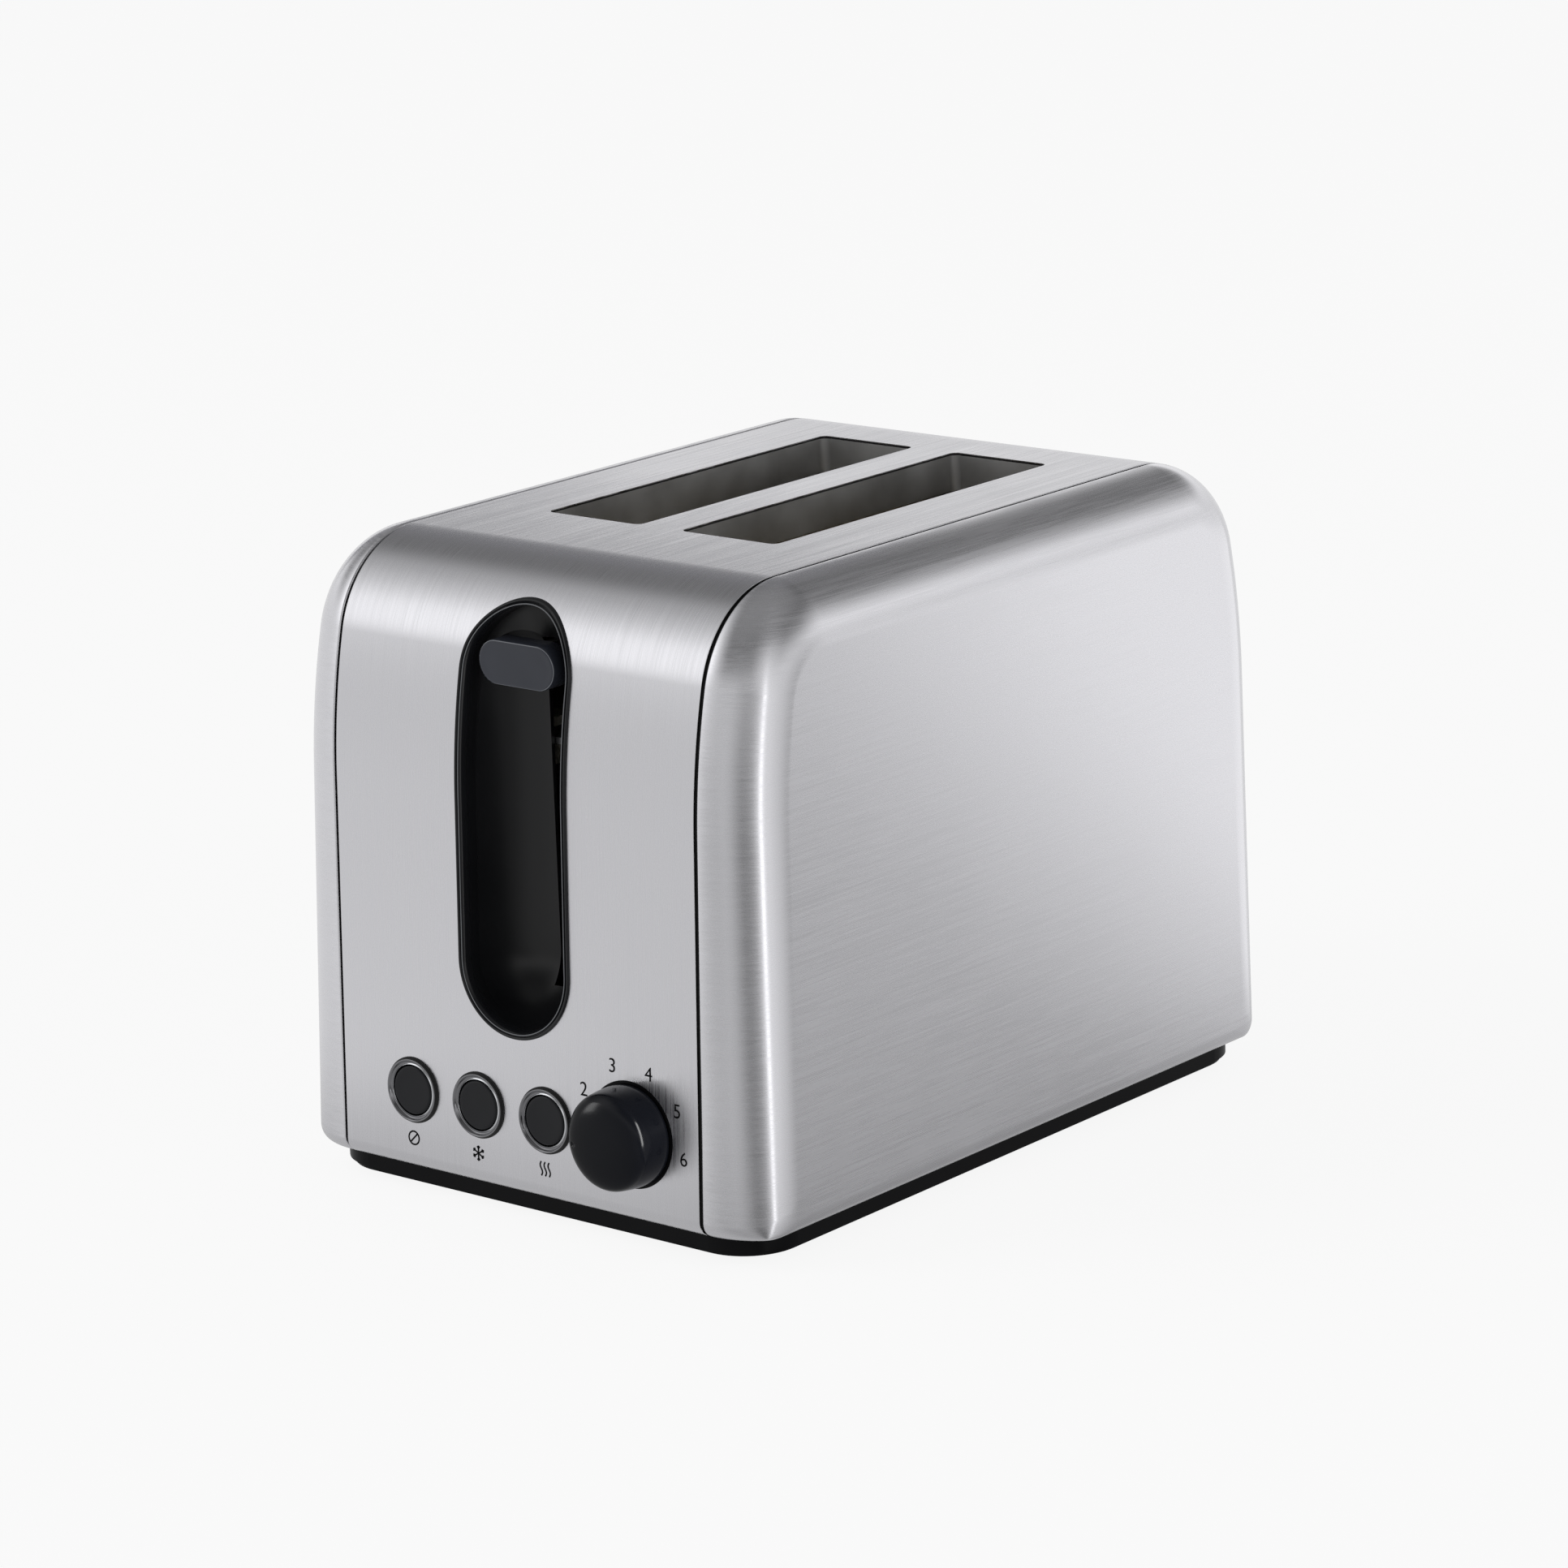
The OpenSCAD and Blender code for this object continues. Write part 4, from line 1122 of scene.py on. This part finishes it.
def make_floor():
    """The floor that the camera sees, and the same floor as the steel's reflections see it."""
    m, tree, out = stage_material("pale_floor")
    mix = tree.nodes.new("ShaderNodeMixShader")
    diffuse = tree.nodes.new("ShaderNodeBsdfDiffuse")
    glow = tree.nodes.new("ShaderNodeEmission")
    diffuse.inputs["Color"].default_value = (0.8, 0.8, 0.8, 1)
    glow.inputs["Color"].default_value = (1.02, 1.02, 1.02, 1)
    mix.inputs["Fac"].default_value = 0.88
    tree.links.new(diffuse.outputs[0], mix.inputs[1])
    tree.links.new(glow.outputs[0], mix.inputs[2])
    tree.links.new(mix.outputs[0], out.inputs["Surface"])
    floor = plane("floor", 12, 0.0, m)
    floor.visible_glossy = False

    m, tree, out = stage_material("reflected_floor")
    k = Shade(tree)
    place = tree.nodes.new("ShaderNodeNewGeometry").outputs["Position"]
    split = tree.nodes.new("ShaderNodeSeparateXYZ")
    tree.links.new(place, split.inputs[0])
    x, y = split.outputs[0], split.outputs[1]
    # the direction from the body's near corner, and the way across the floor along the camera's view
    corner_x, corner_y, view_slope = 0.085, 0.11, 0.82
    turn = k.degrees(k.do("SUBTRACT", x, corner_x), k.do("ADD", y, corner_y))
    around = k.curve(turn, HORIZON, -180, 180)
    slant = k.do("SUBTRACT", y, k.do("MULTIPLY", x, view_slope))
    stops = [(-0.3, 0.46), (-0.11, 0.49), (-0.055, 0.51), (-0.03, 0.53), (0.0, 0.6), (0.025, 0.68),
             (0.05, 0.77), (0.08, 0.84), (0.1, 0.93), (0.125, 1.03), (0.15, 1.13), (0.5, 1.16)]
    beside = k.curve(slant, stops, -0.3, 0.5)
    shine = k.blend(k.step(turn, 122, 138), around, beside)
    # painted shade: the reflected floor is dimmer close to the body, where the body's shadow would fall
    half_x, half_y, dim_reach, dimmest = 0.085, 0.115, 0.16, 0.7
    edge_x = k.do("MAXIMUM", k.do("SUBTRACT", k.do("ABSOLUTE", x), half_x), 0.0)
    edge_y = k.do("MAXIMUM", k.do("SUBTRACT", k.do("ABSOLUTE", y), half_y), 0.0)
    away = k.do("SQRT", k.do("ADD", k.do("MULTIPLY", edge_x, edge_x), k.do("MULTIPLY", edge_y, edge_y)))
    near = k.step(away, 0.0, dim_reach, dimmest, 1.0)
    light = tree.nodes.new("ShaderNodeEmission")
    tree.links.new(k.do("MULTIPLY", shine, near), light.inputs["Color"])
    tree.links.new(light.outputs[0], out.inputs["Surface"])
    only_reflected(plane("reflected_floor", 4, -0.0005, m))


make_floor()


def make_world():
    """Plain pale backdrop for the camera; soft studio panels for reflections, by direction."""
    world = bpy.data.worlds.new("studio")
    scene.world = world
    world.use_nodes = True
    tree = world.node_tree
    tree.nodes.clear()
    k = Shade(tree)
    coords = tree.nodes.new("ShaderNodeTexCoord").outputs["Generated"]
    split = tree.nodes.new("ShaderNodeSeparateXYZ")
    tree.links.new(coords, split.inputs[0])
    x, y, z = split.outputs[0], split.outputs[1], split.outputs[2]

    around = k.curve(k.degrees(x, y), HORIZON, -180, 180)
    stops = [(0.0, 0.8), (0.2, 0.98), (0.29, 1.0), (0.335, 0.7), (0.39, 0.42), (0.45, 0.3), (0.55, 0.24),
             (0.68, 0.15), (0.72, 0.15), (0.8, 0.24), (1.0, 0.3)]
    sky = k.curve(z, stops, 0, 1)

    def box(azimuth, elevation, *levels):
        return k.around((x, y, z), azimuth, elevation, [*levels, (180, 0.0)])

    front_box = box(
        -44, 28, (0, 1.42), (7, 1.35), (12, 1.05), (16, 0.84), (24, 0.42), (34, 0.12), (50, 0.0))
    bend_box = box(-76, 48, (0, 0.46), (8, 0.42), (16, 0.26), (26, 0.08), (34, 0.0))
    rear_box = box(142, 6, (0, 0.9), (12, 0.85), (20, 0.5), (32, 0.1), (40, 0.0))
    side_box = box(76, 22, (0, 0.75), (10, 0.6), (24, 0.2), (36, 0.0))
    left_box = box(-142, 10, (0, 0.7), (12, 0.6), (22, 0.2), (34, 0.0))
    added = k.do("ADD", front_box, k.do("ADD", bend_box, rear_box))
    boxes = k.do("ADD", added, k.do("MAXIMUM", side_box, left_box))
    panels = k.do("MAXIMUM", sky, k.do("ADD", k.do("MULTIPLY", sky, 0.4), boxes))
    above = k.blend(k.step(z, 0.03, 0.22), around, panels)
    reflections = tree.nodes.new("ShaderNodeBackground")
    tree.links.new(above, reflections.inputs["Color"])
    backdrop = tree.nodes.new("ShaderNodeBackground")
    backdrop.inputs["Color"].default_value = (0.945, 0.945, 0.945, 1)
    path = tree.nodes.new("ShaderNodeLightPath")
    both = tree.nodes.new("ShaderNodeMixShader")
    tree.links.new(path.outputs["Is Camera Ray"], both.inputs[0])
    tree.links.new(reflections.outputs[0], both.inputs[1])
    tree.links.new(backdrop.outputs[0], both.inputs[2])
    out = tree.nodes.new("ShaderNodeOutputWorld")
    tree.links.new(both.outputs[0], out.inputs["Surface"])


make_world()


def make_card():
    """A dark card low behind the left side, which the front of the top reflects."""
    m, tree, out = stage_material("dark_card")
    light = tree.nodes.new("ShaderNodeEmission")
    light.inputs["Color"].default_value = (0.24, 0.24, 0.25, 1)
    tree.links.new(light.outputs[0], out.inputs["Surface"])
    x0, x1, y, z0, z1 = -0.8, -0.03, 0.16, 0.278, 0.5
    only_reflected(staged_quad("dark_card", [(x0, y, z0), (x1, y, z0), (x1, y, z1), (x0, y, z1)], m))


make_card()


def area_light(name, where, target, size, power, size_y=None):
    data = bpy.data.lights.new(name, "AREA")
    data.energy = power
    data.size = size
    if size_y:
        data.shape = "RECTANGLE"
        data.size_y = size_y
    light = bpy.data.objects.new(name, data)
    light.location = where
    light.rotation_mode = "QUATERNION"
    light.rotation_quaternion = (Vector(target) - Vector(where)).to_track_quat("-Z", "Y")
    light.visible_glossy = False
    scene.collection.objects.link(light)
    return light


area_light("key", (-0.9, -1.1, 1.5), (0, 0, 0.1), 0.7, 4.0)
area_light("side", (1.4, 0.1, 0.9), (0, 0, 0.1), 0.5, 2.0)


def accent_lights():
    """Two small lamps that only the knob catches, on its dome and along its rim."""
    lit = bpy.data.collections.new("lit_by_accents")
    lit.objects.link(bpy.data.objects["browning_knob"])
    target = to_row((DIAL[0], -KNOB_OUT, DIAL[1] + 8))
    for name, where, width, height, power in (
        ("dome_lamp", (-0.60, -0.65, 0.16), 0.16, 0.26, 1.1),
        ("rim_lamp", (0.33, -0.20, 0.14), 0.09, 0.27, 2.4),
    ):
        lamp = area_light(name, where, target, width, power, height)
        lamp.visible_glossy = True
        lamp.visible_camera = False
        lamp.light_linking.receiver_collection = lit


accent_lights()


CAMERA_AT = Vector((1.07578, -1.27827, 0.54546))
CAMERA_AZIMUTH = math.radians(40.02)
CAMERA_ELEVATION = math.radians(14.82)
CAMERA_ROLL = math.radians(-2.025)
CAMERA_LENS = 132.97


def make_camera():
    a, e, roll = CAMERA_AZIMUTH, CAMERA_ELEVATION, CAMERA_ROLL
    back = Vector((math.sin(a) * math.cos(e), -math.cos(a) * math.cos(e), math.sin(e)))
    right = Vector((math.cos(a), math.sin(a), 0))
    up = back.cross(right)
    right2 = right * math.cos(roll) + up * math.sin(roll)
    up2 = up * math.cos(roll) - right * math.sin(roll)
    data = bpy.data.cameras.new("camera")
    data.sensor_width = 36.0
    data.lens = CAMERA_LENS
    data.clip_end = 60
    camera = bpy.data.objects.new("camera", data)
    turn = Matrix((right2, up2, back)).transposed().to_4x4()
    camera.matrix_world = Matrix.Translation(CAMERA_AT) @ turn
    scene.collection.objects.link(camera)
    scene.camera = camera


make_camera()
scene.view_settings.view_transform = "Standard"
scene.view_settings.look = "None"
